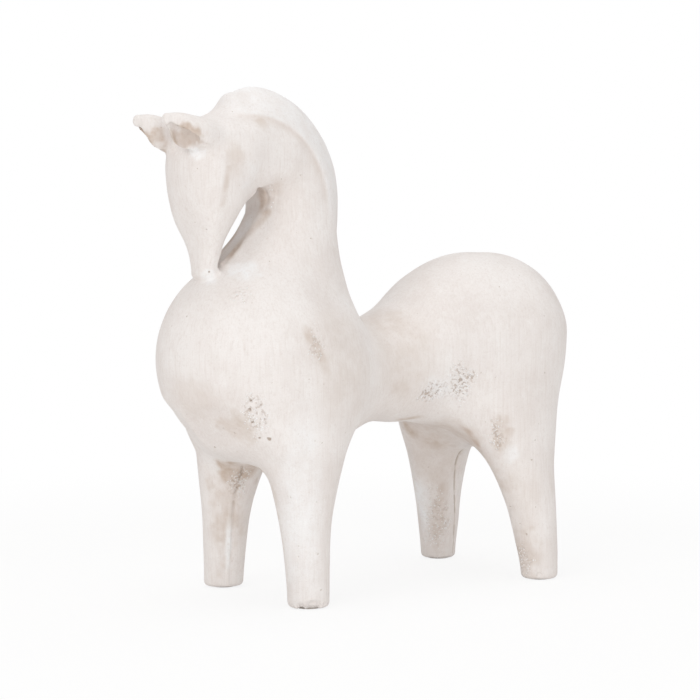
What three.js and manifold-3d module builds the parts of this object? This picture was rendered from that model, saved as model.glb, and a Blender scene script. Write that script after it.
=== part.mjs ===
// Cement horse. A hollow fibre-cement body laid up in a left and a right half, a solid cast head bedded on the
// neck, foam cores, a tied steel armature and felt pads under the feet.
// Millimetres. The horse faces -Y, its left side is +X, up is +Z, the floor is z = 0.
import * as THREE from 'three';
import { mergeVertices } from 'three/addons/utils/BufferGeometryUtils.js';
import Module from 'manifold-3d';

// Sizes of the making
const FIT_GAP = 0.3;
const SHELL_WALL = 12;
const MORTAR_THICKNESS = 3;
const SPINE_BAR = 8;
const NECK_BAR = 8;
const LEG_BAR = 6;
const TIE_WIRE = 1.6;
const TIE_TURNS = 1.5;
const BAR_COVER = 10;
const PAD_DIAMETER = 18;
const PAD_THICKNESS = 2.6;
const PAD_PROUD = 0.6;

// Sizes of the horse
const CHEST_HALF_WIDTH = 73;
const WAIST_HALF_WIDTH = 47;
const RUMP_HALF_WIDTH = 69.5;
const NECK_HALF_WIDTH = 32;
const HEAD_HALF_WIDTH = 34;
const FRONT_STANCE = 56;
const REAR_STANCE = 63;
const CHEST_Y = -93;
const CHEST_REACH = 76;
const RUMP_Y = 127;
const RUMP_REACH = 60;
const FRONT_FOOT_Y = CHEST_Y + 6;
const REAR_FOOT_Y = RUMP_Y + 4;
const EAR_SPREAD = 20;
const EAR_TIP_Y = -182.5;
const SPINE_HEIGHT = 168;

// Softness of the joins, as the width that each join spreads over
const LEG_JOIN = 22;
const NECK_JOIN = 10;
const MUZZLE_JOIN = { spread: 2.5, from: -140, to: -120 };
const MANE_JOIN = 12;
const EAR_JOIN = 6;
const THROAT_JOIN = 7;
const CHEEK_JOIN = { lower: 3, upper: 16, from: 290, to: 315 };
const NECK_FADE = { from: 284, to: 306 };

// The line across the horse that the neck arches over
const POLL = { y: -104, z: 298 };

// Top and tip of the throat slot
const SLOT_TOP = { y: -101, z: 305 };
const SLOT_TIP = { y: -134, z: 246 };

// Joints of the head: upright face above the throat slot, sloping seat below it
const JOINT_FOOT = { y: SLOT_TOP.y - 0.5, z: SLOT_TOP.z - 4 };
const SEAT_BACK = { y: -133, z: 248.5 };
const SEAT_SLOPE = THREE.MathUtils.degToRad(20);

// Size of the cutting forms, well past the horse on every side
const CUT_REACH = 500;

// Fineness of the faceted surfaces, set out a little so that their facets straddle the true form
const FACET_ALLOWANCE = 0.5;
const BODY_LINES = [17, 24, 32];
const HEAD_CELL = [4.4, 6, 5];
const HOLLOW_CELL = [3.2, 3.2, 3.2];
const CORE_CELL = [24, 24, 24];
const BAR_SIDES = 8;
const WIRE_SIDES = 5;
const TIE_STEPS = 10;
const PAD_SIDES = 20;

// Torso, sections square to the back: y, middle x, underside, topline, half width
const TORSO_SECTIONS = [
  [CHEST_Y, 0, 100, 256, CHEST_HALF_WIDTH],
  [CHEST_Y + 41, 0, 104, 236, CHEST_HALF_WIDTH * 0.9],
  [1, 0, 124.5, 206, WAIST_HALF_WIDTH],
  [29, 0, 126, 215.5, WAIST_HALF_WIDTH * 1.02],
  [RUMP_Y - 64, 0, 127.5, 240.5, RUMP_HALF_WIDTH * 0.81],
  [RUMP_Y - 32, 0, 128, 254, RUMP_HALF_WIDTH * 0.92],
  [RUMP_Y, 0, 131, 253.5, RUMP_HALF_WIDTH],
];

// Legs, level sections: height, lean inwards, front and back from the foot's middle, half width
const FRONT_LEG_SECTIONS = [
  [0, 0, -15, 16.2, 15.6],
  [30, 1.5, -16, 17.2, 16.9],
  [60, 4, -18.5, 20, 19.5],
  [90, 7.5, -23, 28, 25.3],
  [120, 13.5, -29, 40, 32],
  [160, 19, -36, 50, 34],
  [190, 26, -36, 50, 34],
];
const REAR_LEG_SECTIONS = [
  [0, 0, -14.5, 15, 14.3],
  [30, 2, -18.7, 16, 16.3],
  [60, 5.5, -25.5, 16.5, 19],
  [90, 11.5, -36.8, 19, 23.2],
  [120, 19, -52, 27, 29],
  [160, 25, -58, 35, 31],
  [190, 31, -58, 35, 31],
];

// Neck column, level sections: height, middle x, front, back, half width
const COLUMN_SECTIONS = [
  [178, 0, -139, -15, NECK_HALF_WIDTH * 1.97],
  [208, 0, -137, -16, NECK_HALF_WIDTH * 1.81],
  [232, 0, -130, -22, NECK_HALF_WIDTH * 1.56],
  [250, 0, -120, -26, NECK_HALF_WIDTH * 1.34],
  [265, 0, -108, -28, NECK_HALF_WIDTH * 1.19],
  [280, 0, -98, -29, NECK_HALF_WIDTH * 1.08],
  [298, 0, -95, -30, NECK_HALF_WIDTH * 1.02],
  [315, 0, -95, -30, NECK_HALF_WIDTH],
];

// Neck arch and mane, sections on spokes from the poll line: angle, middle x, inner and outer radius, half width
const ARCH_SECTIONS = [
  [-20, 0, 9, 74, NECK_HALF_WIDTH * 1.03],
  [30, 0, 9, 72, NECK_HALF_WIDTH * 0.98],
  [60, 0, 9, 69, NECK_HALF_WIDTH * 0.97],
  [88, 0, 9, 66, NECK_HALF_WIDTH * 0.97],
  [112, 0, 10, 62, NECK_HALF_WIDTH * 0.97],
];
const MANE_SECTIONS = [
  [-34, 0, 68, 87, 7],
  [0, 0, 58, 81.5, 11],
  [35, 0, 50, 80, 14],
  [62, 0, 46, 81.6, 17],
  [86, 0, 44, 81.1, 17],
  [100, 0, 44, 77, 15],
];

// Head, level sections: height, middle x, face, jaw, half width
const HEAD_SECTIONS = [
  [243, 0, -143.5, -133.5, HEAD_HALF_WIDTH * 0.35],
  [254, 0, -145.5, -132.5, HEAD_HALF_WIDTH * 0.44],
  [265, 0, -149, -130, HEAD_HALF_WIDTH * 0.6],
  [279, 0, -155, -123.5, HEAD_HALF_WIDTH * 0.81],
  [295, 0, -160, -112, HEAD_HALF_WIDTH * 0.94],
  [309, 0, -162.5, -105, HEAD_HALF_WIDTH * 0.985],
  [326, 0, -162.5, -101, HEAD_HALF_WIDTH],
  [340, 0, -157, -97, HEAD_HALF_WIDTH * 0.94],
];

// Throat web that fills between jaw and neck, level sections like the head's
const THROAT_SECTIONS = [
  [242, 0, -146, -108, 10],
  [256, 0, -146, -100, 12],
  [270, 0, -146, -88, 12],
  [282, 0, -146, -80, 12],
  [294, 0, -146, -72, 13],
  [304, 0, -146, -68, 22],
  [314, 0, -146, -66, 30],
  [334, 0, -146, -66, 31],
];

// Throat slot, a leaf cut straight through: height, jaw side, neck side
const SLOT_SECTIONS = [
  [249, -135, -131],
  [256, -133, -122.5],
  [264.5, -130.5, -113.5],
  [271, -126, -107.5],
  [281, -119, -100.5],
  [293, -111.5, -94.5],
  [301, -106, -96],
];

// Ears, sections square to their length: y, middle x, underside, top, half width
const EAR_SECTIONS = [
  [EAR_TIP_Y, EAR_SPREAD - 0.5, 346, 357, 5.2],
  [EAR_TIP_Y + 9.5, EAR_SPREAD, 335.5, 357.5, 9.8],
  [EAR_TIP_Y + 25.5, EAR_SPREAD + 1, 330.5, 355, 13],
  [EAR_TIP_Y + 47.5, EAR_SPREAD - 2, 330, 352.5, 13],
];
const EAR_HOLLOW_SECTIONS = [
  [EAR_TIP_Y + 1.5, EAR_SPREAD - 0.3, 341, 349.5, 2.8],
  [EAR_TIP_Y + 9.5, EAR_SPREAD + 0.3, 330, 347, 6.6],
  [EAR_TIP_Y + 17.5, EAR_SPREAD + 0.8, 326, 343, 8.6],
];

// Finishes
const CEMENT = { color: 0xe8e2dd, roughness: 0.95, metalness: 0 };
const MORTAR = { color: 0xcfc8bf, roughness: 0.95, metalness: 0 };
const FOAM = { color: 0xf5f4ee, roughness: 0.9, metalness: 0 };
const STEEL = { color: 0x7d756e, roughness: 0.55, metalness: 0.9 };
const WIRE = { color: 0x4a4846, roughness: 0.5, metalness: 0.9 };
const FELT = { color: 0x57514b, roughness: 1, metalness: 0 };

const wasm = await Module();
wasm.setup();

/** Limits a value to a range. */
const clamp = THREE.MathUtils.clamp;

/** Smooth curve through rows of values at rising stations, level at both ends. */
class Profile {
  constructor(rows) {
    this.stations = rows.map((row) => row[0]);
    this.values = rows.map((row) => row.slice(1));
    this.slopes = this.values.map((row, i) => row.map((value, c) => this.slopeAt(i, c)));
  }

  /** Slope at a row: the two neighbouring chords, each weighted by the other's length. */
  slopeAt(i, c) {
    if (i === 0 || i === this.values.length - 1) return 0;
    const before = this.stations[i] - this.stations[i - 1];
    const after = this.stations[i + 1] - this.stations[i];
    const rise = (this.values[i][c] - this.values[i - 1][c]) / before;
    const next = (this.values[i + 1][c] - this.values[i][c]) / after;
    return (rise * after + next * before) / (before + after);
  }

  /** Values and slopes at a station, with how far the station lies past an end. */
  at(station) {
    const last = this.stations.length - 1;
    const inside = clamp(station, this.stations[0], this.stations[last]);
    let i = 0;
    while (i < last - 1 && inside > this.stations[i + 1]) i += 1;
    const span = this.stations[i + 1] - this.stations[i];
    const t = (inside - this.stations[i]) / span;
    const value = [];
    const slope = [];
    for (let c = 0; c < this.values[i].length; c += 1) {
      const start = this.values[i][c];
      const leave = this.slopes[i][c] * span;
      const arrive = this.slopes[i + 1][c] * span;
      const rise = this.values[i + 1][c] - start;
      const square = 3 * rise - 2 * leave - arrive;
      const cube = leave + arrive - 2 * rise;
      value.push(start + t * (leave + t * (square + t * cube)));
      slope.push((leave + t * (2 * square + 3 * t * cube)) / span);
    }
    return { value, slope, over: station - inside };
  }
}

/** Ways of laying sections: where a point falls along the form, and across its section. */
const alongBack = (y, z) => ({ station: y, across: z, stretch: 1 });
const alongHeight = (y, z) => ({ station: z, across: y, stretch: 1 });
const roundPoll = (y, z) => {
  const radius = Math.hypot(y - POLL.y, z - POLL.z) + 1e-6;
  const angle = THREE.MathUtils.radToDeg(Math.atan2(z - POLL.z, y - POLL.y));
  const station = angle < -145 ? angle + 360 : angle;
  return { station, across: radius, stretch: THREE.MathUtils.degToRad(1) * radius };
};

/** A form lofted through oval sections and rounded off past its end sections. */
class Loft {
  constructor(sections, lay, caps, power = 2) {
    this.profile = new Profile(sections);
    this.lay = lay;
    this.caps = caps;
    this.power = power;
  }

  /** Middle of the section at a station: x, then the place across. */
  middle(station) {
    const [x, low, high] = this.profile.at(station).value;
    return { x, across: (low + high) / 2 };
  }

  /** Distance from a point to the form's surface, below zero inside. */
  distance(x, y, z) {
    const { station, across, stretch } = this.lay(y, z);
    const { value, slope, over } = this.profile.at(station);
    const [middleX, low, high, half] = value;
    const reach = (high - low) / 2;
    const u = (x - middleX) / half;
    const v = (across - (low + high) / 2) / reach;
    const cap = over < 0 ? this.caps[0] : this.caps[1];
    const past = (over * stretch) / cap;
    const oval = (Math.abs(u) ** this.power + Math.abs(v) ** this.power) ** (1 / this.power) + 1e-9;
    const size = Math.hypot(oval, past) + 1e-9;
    const turnU = (Math.abs(u) / oval) ** (this.power - 1) * Math.sign(u);
    const turnV = (Math.abs(v) / oval) ** (this.power - 1) * Math.sign(v);
    const share = oval / size;
    const steepX = (turnU * share) / half;
    const steepAcross = (turnV * share) / reach;
    const shiftU = (turnU * (slope[0] + u * slope[3])) / half;
    const shiftV = (turnV * ((slope[1] + slope[2]) / 2 + (v * (slope[2] - slope[1])) / 2)) / reach;
    const inside = over === 0 ? share * (shiftU + shiftV) : 0;
    const steepAlong = past / size / cap - inside / stretch;
    return (size - 1) / Math.hypot(steepX, steepAcross, steepAlong, 1e-6);
  }
}

/** Union of two distances with a soft fillet as wide as the given spread. */
function blend(a, b, spread) {
  const h = Math.max(spread - Math.abs(a - b), 0) / spread;
  return Math.min(a, b) - (h * h * spread) / 4;
}

/** Leg sections set out from a foot, leaning in from its stance. */
function legLoft(sections, side, stance, footY) {
  const rows = sections.map(([height, lean, front, back, half]) => (
    [height, side * (stance - lean), footY + front, footY + back, half]
  ));
  return new Loft(rows, alongHeight, [200, 20]);
}

/** Sections moved to the other ear. */
const earRows = (sections, side) => sections.map(([y, x, ...rest]) => [y, side * x, ...rest]);

const SIDES = [1, -1];
const torso = new Loft(TORSO_SECTIONS, alongBack, [CHEST_REACH, RUMP_REACH]);
const frontLegs = SIDES.map((side) => legLoft(FRONT_LEG_SECTIONS, side, FRONT_STANCE, FRONT_FOOT_Y));
const rearLegs = SIDES.map((side) => legLoft(REAR_LEG_SECTIONS, side, REAR_STANCE, REAR_FOOT_Y));
const legs = [...frontLegs, ...rearLegs];
const column = new Loft(COLUMN_SECTIONS, alongHeight, [30, 14], 2.1);
const arch = new Loft(ARCH_SECTIONS, roundPoll, [14, 16], 2.1);
const mane = new Loft(MANE_SECTIONS, roundPoll, [20, 8]);
const head = new Loft(HEAD_SECTIONS, alongHeight, [6, 14.5], 2.5);
const throat = new Loft(THROAT_SECTIONS, alongHeight, [5, 12], 4);
const ears = SIDES.map((side) => new Loft(earRows(EAR_SECTIONS, side), alongBack, [3.6, 8]));
const earHollows = SIDES.map((side) => new Loft(earRows(EAR_HOLLOW_SECTIONS, side), alongBack, [3, 4]));

/** Torso and legs. */
function trunkField(x, y, z) {
  return legs.reduce((field, leg) => blend(field, leg.distance(x, y, z), LEG_JOIN), torso.distance(x, y, z));
}

/** Neck, fading from its upright column into the arch, with the mane laid along it. */
function neckField(x, y, z) {
  const fade = THREE.MathUtils.smoothstep(z, NECK_FADE.from, NECK_FADE.to);
  const bare = (1 - fade) * column.distance(x, y, z) + fade * arch.distance(x, y, z);
  return blend(bare, mane.distance(x, y, z), MANE_JOIN);
}

/** Head with its ears, before the ears are hollowed. */
function headField(x, y, z) {
  return ears.reduce((field, ear) => blend(field, ear.distance(x, y, z), EAR_JOIN), head.distance(x, y, z));
}

/** The whole horse, before the throat slot is cut. */
function horseField(x, y, z) {
  const rise = clamp((z - CHEEK_JOIN.from) / (CHEEK_JOIN.to - CHEEK_JOIN.from), 0, 1);
  const cheek = CHEEK_JOIN.lower + (CHEEK_JOIN.upper - CHEEK_JOIN.lower) * rise;
  const upper = blend(neckField(x, y, z), headField(x, y, z), cheek);
  const filled = blend(upper, throat.distance(x, y, z), THROAT_JOIN);
  const back = THREE.MathUtils.smoothstep(y, MUZZLE_JOIN.from, MUZZLE_JOIN.to);
  const join = MUZZLE_JOIN.spread + (NECK_JOIN - MUZZLE_JOIN.spread) * back;
  return blend(trunkField(x, y, z), filled, join);
}

/** How far a point lies outside the head's share of the horse, seen from the side. */
function headShare(y, z) {
  const seat = (y - SEAT_BACK.y) * Math.sin(SEAT_SLOPE) - (z - SEAT_BACK.z) * Math.cos(SEAT_SLOPE);
  const rise = JOINT_FOOT.z - SEAT_BACK.z;
  const run = JOINT_FOOT.y - SEAT_BACK.y;
  const slot = ((y - SEAT_BACK.y) * rise - (z - SEAT_BACK.z) * run) / Math.hypot(rise, run);
  return Math.max(seat, slot, y - JOINT_FOOT.y);
}

/** The horse without most of its head; a stub is left to be cut off clean at the joints. */
const STUB = 20;
const bodyField = (x, y, z) => Math.max(horseField(x, y, z), -headShare(y, z) - STUB);

/** The hollow inside the shells, a wall's thickness below the surface of torso and neck. */
const hollowField = (x, y, z) => (
  blend(torso.distance(x, y, z), column.distance(x, y, z), NECK_JOIN) + SHELL_WALL
);

/** Even grid of cells in a box. */
function evenGrid(low, high, cells) {
  const count = low.map((start, axis) => Math.round((high[axis] - start) / cells[axis]) + 1);
  return { count, cell: Math.max(...cells), place: (g) => g.map((n, axis) => low[axis] + cells[axis] * n) };
}

/** Grid for the body: even through the torso, its lines gathered round the legs below and the neck above. */
function bodyGrid() {
  const side = CHEST_HALF_WIDTH + 17;
  const low = [-side, CHEST_Y - CHEST_REACH - 11, -34];
  const high = [side, RUMP_Y + RUMP_REACH + 10, POLL.z + 98];
  const bunch = 34;
  const legsAcross = [
    [0, low[0]], [0.06, -REAR_STANCE - bunch / 2], [0.42, -FRONT_STANCE + bunch * 0.7],
    [0.58, FRONT_STANCE - bunch * 0.7], [0.94, REAR_STANCE + bunch / 2], [1, high[0]],
  ];
  const legsAlong = [
    [0, low[1]], [0.06, FRONT_FOOT_Y - bunch], [0.43, FRONT_FOOT_Y + bunch],
    [0.53, REAR_FOOT_Y - bunch * 1.3], [0.94, REAR_FOOT_Y + bunch * 0.75], [1, high[1]],
  ];
  const neckAcross = [[0, low[0]], [0.1, -1.6 * NECK_HALF_WIDTH], [0.9, 1.6 * NECK_HALF_WIDTH], [1, high[0]]];
  const neckAlong = [[0, low[1]], [0.04, POLL.y - 48], [0.62, POLL.y + 84], [0.67, POLL.y + 140], [1, high[1]]];
  const heights = [[0, low[2]], [0.26, 90], [0.6, 236], [0.83, 310], [1, high[2]]];
  const knotted = (knots, t) => {
    const i = Math.max(1, knots.findIndex(([at]) => at >= t));
    return THREE.MathUtils.mapLinear(t, knots[i - 1][0], knots[i][0], knots[i - 1][1], knots[i][1]);
  };
  const place = (g) => {
    const t = g.map((n, axis) => n / (BODY_LINES[axis] - 1));
    const z = knotted(heights, t[2]);
    const byLegs = 1 - THREE.MathUtils.smoothstep(z, 70, 120);
    const byNeck = THREE.MathUtils.smoothstep(z, 205, 240);
    const mixed = (axis, legKnots, neckKnots) => (
      byLegs * knotted(legKnots, t[axis]) + byNeck * knotted(neckKnots, t[axis])
      + (1 - byLegs - byNeck) * THREE.MathUtils.lerp(low[axis], high[axis], t[axis])
    );
    return [mixed(0, legsAcross, neckAcross), mixed(1, legsAlong, neckAlong), z];
  };
  return { count: BODY_LINES, cell: 10, place };
}

/** Closed faceted surface of a field, sunk by a depth: one point in each grid cell that the surface crosses. */
function skin(field, { count, cell, place }, depth = 0) {
  const slot = (g) => (g[0] * count[1] + g[1]) * count[2] + g[2];
  const onEdge = (g) => g.some((n, axis) => n === 0 || n === count[axis] - 1);
  const level = new Float64Array(count[0] * count[1] * count[2]);
  const grid = [];
  for (let i = 0; i < count[0]; i += 1) {
    for (let j = 0; j < count[1]; j += 1) {
      for (let k = 0; k < count[2]; k += 1) {
        const g = [i, j, k];
        grid.push(g);
        level[slot(g)] = onEdge(g) ? cell : field(...place(g));
      }
    }
  }
  const sunk = (x, y, z) => field(x, y, z) + depth;
  const corner = (g, n) => [g[0] + (n & 1), g[1] + ((n >> 1) & 1), g[2] + ((n >> 2) & 1)];
  const positions = [];
  const pointOf = new Int32Array(level.length).fill(-1);
  for (const g of grid) {
    if (g.some((n, axis) => n === count[axis] - 1)) continue;
    const middle = cellPoint(g, corner, (c) => level[slot(c)], place);
    if (!middle) continue;
    pointOf[slot(g)] = positions.length / 3;
    const inner = !onEdge(g) && !onEdge(corner(g, 7));
    positions.push(...(inner ? drawOn(sunk, middle, cell) : middle));
  }
  const faces = [];
  for (const g of grid) {
    for (let axis = 0; axis < 3; axis += 1) {
      const across = (axis + 1) % 3;
      const up = (axis + 2) % 3;
      if (g[axis] === count[axis] - 1 || g[across] === 0 || g[up] === 0) continue;
      const ahead = g.map((n, a) => n + (a === axis ? 1 : 0));
      const inside = level[slot(g)] < 0;
      if (inside === level[slot(ahead)] < 0) continue;
      const ring = [[1, 1], [0, 1], [0, 0], [1, 0]].map(([a, b]) => (
        pointOf[slot(g.map((n, c) => n - (c === across ? a : 0) - (c === up ? b : 0)))]
      ));
      faces.push(...splitQuad(inside ? ring : ring.reverse(), positions));
    }
  }
  const geometry = new THREE.BufferGeometry();
  geometry.setAttribute('position', new THREE.Float32BufferAttribute(positions, 3));
  geometry.setIndex(faces);
  return solid(geometry);
}

/** Mean of the points where the surface crosses a cell's edges, or nothing where it misses the cell. */
function cellPoint(g, corner, levelAt, place) {
  const sum = [0, 0, 0];
  let crossings = 0;
  for (let n = 0; n < 8; n += 1) {
    for (const bit of [1, 2, 4]) {
      if (n & bit) continue;
      const from = levelAt(corner(g, n));
      const to = levelAt(corner(g, n | bit));
      if ((from < 0) === (to < 0)) continue;
      const start = place(corner(g, n));
      const end = place(corner(g, n | bit));
      for (let axis = 0; axis < 3; axis += 1) {
        sum[axis] += start[axis] + ((end[axis] - start[axis]) * from) / (from - to);
      }
      crossings += 1;
    }
  }
  return crossings ? sum.map((total) => total / crossings) : null;
}

/** Draws a point onto a field's surface along the steepest way, within half a cell. */
function drawOn(field, point, cell) {
  const nudge = 0.05;
  let here = point;
  for (let turn = 0; turn < 3; turn += 1) {
    const depth = field(...here);
    const steep = here.map((n, axis) => (
      (field(...here.map((m, a) => m + (a === axis ? nudge : 0))) - depth) / nudge
    ));
    const square = steep[0] ** 2 + steep[1] ** 2 + steep[2] ** 2 + 1e-6;
    here = here.map((n, axis) => (
      clamp(n - (depth * steep[axis]) / square, point[axis] - cell / 2, point[axis] + cell / 2)
    ));
  }
  return here;
}

/** Two triangles of a four-cornered face, cut along its shorter diagonal. */
function splitQuad([a, b, c, d], positions) {
  const apart = (m, n) => Math.hypot(
    positions[3 * m] - positions[3 * n],
    positions[3 * m + 1] - positions[3 * n + 1],
    positions[3 * m + 2] - positions[3 * n + 2],
  );
  return apart(a, c) <= apart(b, d) ? [a, b, c, a, c, d] : [a, b, d, b, c, d];
}

/** A geometry as a solid that can be joined and cut. */
function solid(geometry) {
  const bare = new THREE.BufferGeometry();
  bare.setAttribute('position', geometry.getAttribute('position'));
  bare.setIndex(geometry.getIndex());
  const welded = mergeVertices(bare, 1e-4);
  return new wasm.Manifold(new wasm.Mesh({
    numProp: 3,
    vertProperties: new Float32Array(welded.getAttribute('position').array),
    triVerts: new Uint32Array(welded.getIndex().array),
  }));
}

/** A box between two corners. */
function block(low, high) {
  const box = new THREE.BoxGeometry(high[0] - low[0], high[1] - low[1], high[2] - low[2]);
  return solid(box.translate((low[0] + high[0]) / 2, (low[1] + high[1]) / 2, (low[2] + high[2]) / 2));
}

/** A side-view outline carried straight across the horse. */
function acrossHorse(shape) {
  const width = CUT_REACH;
  const plate = new THREE.ExtrudeGeometry(shape, { depth: width, bevelEnabled: false, curveSegments: 12 });
  plate.translate(0, 0, -width / 2);
  const turn = new THREE.Matrix4().makeBasis(
    new THREE.Vector3(0, 1, 0), new THREE.Vector3(0, 0, 1), new THREE.Vector3(1, 0, 0),
  );
  return solid(plate.applyMatrix4(turn));
}

/** Everything forward of the head's joints, each joint face moved towards the head by an offset. */
function headSide(jointOffset, seatOffset) {
  const farFront = -CUT_REACH;
  const farTop = CUT_REACH;
  const seatLift = seatOffset / Math.cos(SEAT_SLOPE);
  const seatFrontZ = SEAT_BACK.z + (farFront - SEAT_BACK.y) * Math.tan(SEAT_SLOPE);
  return acrossHorse(new THREE.Shape([
    new THREE.Vector2(JOINT_FOOT.y - jointOffset, JOINT_FOOT.z),
    new THREE.Vector2(JOINT_FOOT.y - jointOffset, farTop),
    new THREE.Vector2(farFront, farTop),
    new THREE.Vector2(farFront, seatFrontZ + seatLift),
    new THREE.Vector2(SEAT_BACK.y, SEAT_BACK.z + seatLift),
  ]));
}

/** The leaf-shaped slot behind the jaw. */
function throatSlot() {
  const jawSide = SLOT_SECTIONS.map(([z, jaw]) => new THREE.Vector2(jaw, z));
  const neckSide = SLOT_SECTIONS.map(([z, jaw, neck]) => new THREE.Vector2(neck, z)).reverse();
  const top = new THREE.Vector2(SLOT_TOP.y, SLOT_TOP.z);
  const tip = new THREE.Vector2(SLOT_TIP.y, SLOT_TIP.z);
  const outline = new THREE.SplineCurve([tip, ...jawSide, top, ...neckSide, tip]);
  return acrossHorse(new THREE.Shape(outline.getPoints(40).slice(0, -1)));
}

/** A round bar or wire along a curve. */
function rod(curve, diameter, sides, steps) {
  const corners = Array.from({ length: sides }, (_, i) => {
    const angle = (2 * Math.PI * i) / sides;
    return new THREE.Vector2(Math.cos(angle), Math.sin(angle)).multiplyScalar(diameter / 2);
  });
  const shape = new THREE.Shape(corners);
  return solid(new THREE.ExtrudeGeometry(shape, { steps, extrudePath: curve, bevelEnabled: false }));
}

const spot = (x, y, z) => new THREE.Vector3(x, y, z);

/** Spine bar, straight along the back. */
const SPINE_FRONT = CHEST_Y - 25;
const SPINE_REAR = RUMP_Y + 23;
const spineCurve = new THREE.LineCurve3(spot(0, SPINE_FRONT, SPINE_HEIGHT), spot(0, SPINE_REAR, SPINE_HEIGHT));

/** Neck bar: a foot lying on the spine, a rise up the neck, an arch over the poll line, an end in the head. */
const NECK_FOOT_Z = SPINE_HEIGHT + (SPINE_BAR + NECK_BAR) / 2 + FIT_GAP;
const NECK_FOOT = { from: -14, to: -48 };
const NECK_MIDDLE = { y: -73, z: 250 };
const ARCH_BAR_RADIUS = 41.5;
const HEAD_SOCKET = 26;
function neckCurve() {
  const round = ARCH_BAR_RADIUS * 0.5523;
  const back = POLL.y + ARCH_BAR_RADIUS;
  const top = POLL.z + ARCH_BAR_RADIUS;
  const curve = new THREE.CurvePath();
  const bend = spot(0, NECK_FOOT.to, NECK_FOOT_Z);
  const middle = spot(0, NECK_MIDDLE.y, NECK_MIDDLE.z);
  const shoulder = spot(0, back, POLL.z);
  const crest = spot(0, POLL.y, top);
  curve.add(new THREE.LineCurve3(spot(0, NECK_FOOT.from, NECK_FOOT_Z), bend));
  curve.add(new THREE.CubicBezierCurve3(
    bend, spot(0, bend.y - 34, bend.z), spot(0, middle.y - 12, middle.z - 35), middle,
  ));
  curve.add(new THREE.CubicBezierCurve3(
    middle, spot(0, middle.y + 6, middle.z + 17.5), spot(0, back, shoulder.z - 15), shoulder,
  ));
  curve.add(new THREE.CubicBezierCurve3(
    shoulder, spot(0, back, shoulder.z + round), spot(0, crest.y + round, top), crest,
  ));
  curve.add(new THREE.LineCurve3(crest, spot(0, POLL.y - HEAD_SOCKET, top)));
  return curve;
}

/** Leg hoop: up one leg, over under the spine, down the other leg. */
const HIP_HEIGHT = 120;
const CROWN_HEIGHT = SPINE_HEIGHT - (SPINE_BAR + LEG_BAR) / 2 - FIT_GAP;
const FOOT_END = PAD_THICKNESS + BAR_COVER;
function hoopCurve([left, right]) {
  const at = (leg, height) => spot(leg.middle(height).x, leg.middle(height).across, height);
  const crown = spot(0, left.middle(HIP_HEIGHT).across, CROWN_HEIGHT);
  const climb = (leg) => {
    const foot = at(leg, FOOT_END);
    const hip = at(leg, HIP_HEIGHT);
    const lift = hip.clone().sub(foot).multiplyScalar(0.22).add(hip);
    return { foot, hip, lift, shoulder: spot(hip.x / 2, crown.y, crown.z) };
  };
  const up = climb(left);
  const down = climb(right);
  const curve = new THREE.CurvePath();
  curve.add(new THREE.LineCurve3(up.foot, up.hip));
  curve.add(new THREE.CubicBezierCurve3(up.hip, up.lift, up.shoulder, crown));
  curve.add(new THREE.CubicBezierCurve3(crown, down.shoulder, down.lift, down.hip));
  curve.add(new THREE.LineCurve3(down.hip, down.foot));
  return { curve, crown };
}

/** A wire tie: turns of wire, squared to hug two stacked bars, climbing along the given way. */
const TIE_PITCH = TIE_WIRE + FIT_GAP;
const TIE_REACH = TIE_WIRE / 2 + FIT_GAP;
function tieCurve(centre, acrossWay, alongWay, halfWidth, halfHeight) {
  const steps = Math.round(TIE_TURNS * TIE_STEPS);
  const square = (n) => Math.sign(n) * Math.abs(n) ** (2 / 3);
  const points = Array.from({ length: steps + 1 }, (_, i) => {
    const angle = (2 * Math.PI * i) / TIE_STEPS;
    const climb = TIE_PITCH * (i / TIE_STEPS - TIE_TURNS / 2);
    return centre.clone()
      .addScaledVector(acrossWay, halfWidth * square(Math.cos(angle)))
      .addScaledVector(alongWay, climb)
      .add(spot(0, 0, halfHeight * square(Math.sin(angle))));
  });
  return { curve: new THREE.CatmullRomCurve3(points), steps };
}

/** Tie where a hoop crosses under the spine: it runs on the diagonal round both bars. */
function crossingTie(crown) {
  const stack = SPINE_BAR + LEG_BAR + FIT_GAP;
  const centre = spot(0, crown.y, crown.z - LEG_BAR / 2 + stack / 2);
  const spread = TIE_PITCH * TIE_TURNS / 2;
  const halfWidth = Math.SQRT2 * (SPINE_BAR / 2 + TIE_REACH) + spread + 1;
  const tie = tieCurve(
    centre, spot(Math.SQRT1_2, Math.SQRT1_2, 0), spot(Math.SQRT1_2, -Math.SQRT1_2, 0),
    halfWidth, stack / 2 + TIE_REACH + 0.2,
  );
  return { ...tie, centre, reach: [halfWidth, halfWidth, stack / 2 + TIE_REACH + 0.2] };
}

/** Tie that holds the foot of the neck bar down on the spine. */
function footTie() {
  const stack = SPINE_BAR + NECK_BAR + FIT_GAP;
  const centre = spot(0, (NECK_FOOT.from + NECK_FOOT.to) / 2, SPINE_HEIGHT - SPINE_BAR / 2 + stack / 2);
  const halfWidth = Math.max(SPINE_BAR, NECK_BAR) / 2 + TIE_REACH + 0.7;
  const halfHeight = stack / 2 + TIE_REACH + 0.2;
  const tie = tieCurve(centre, spot(1, 0, 0), spot(0, 1, 0), halfWidth, halfHeight);
  return { ...tie, centre, reach: [halfWidth, TIE_PITCH * TIE_TURNS / 2, halfHeight] };
}

/** Room left in foam and shells round a tie. */
function tiePocket({ centre, reach }) {
  const room = reach.map((n) => n + TIE_REACH + TIE_WIRE);
  const middle = centre.toArray();
  return block(middle.map((n, i) => n - room[i]), middle.map((n, i) => n + room[i]));
}

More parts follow.
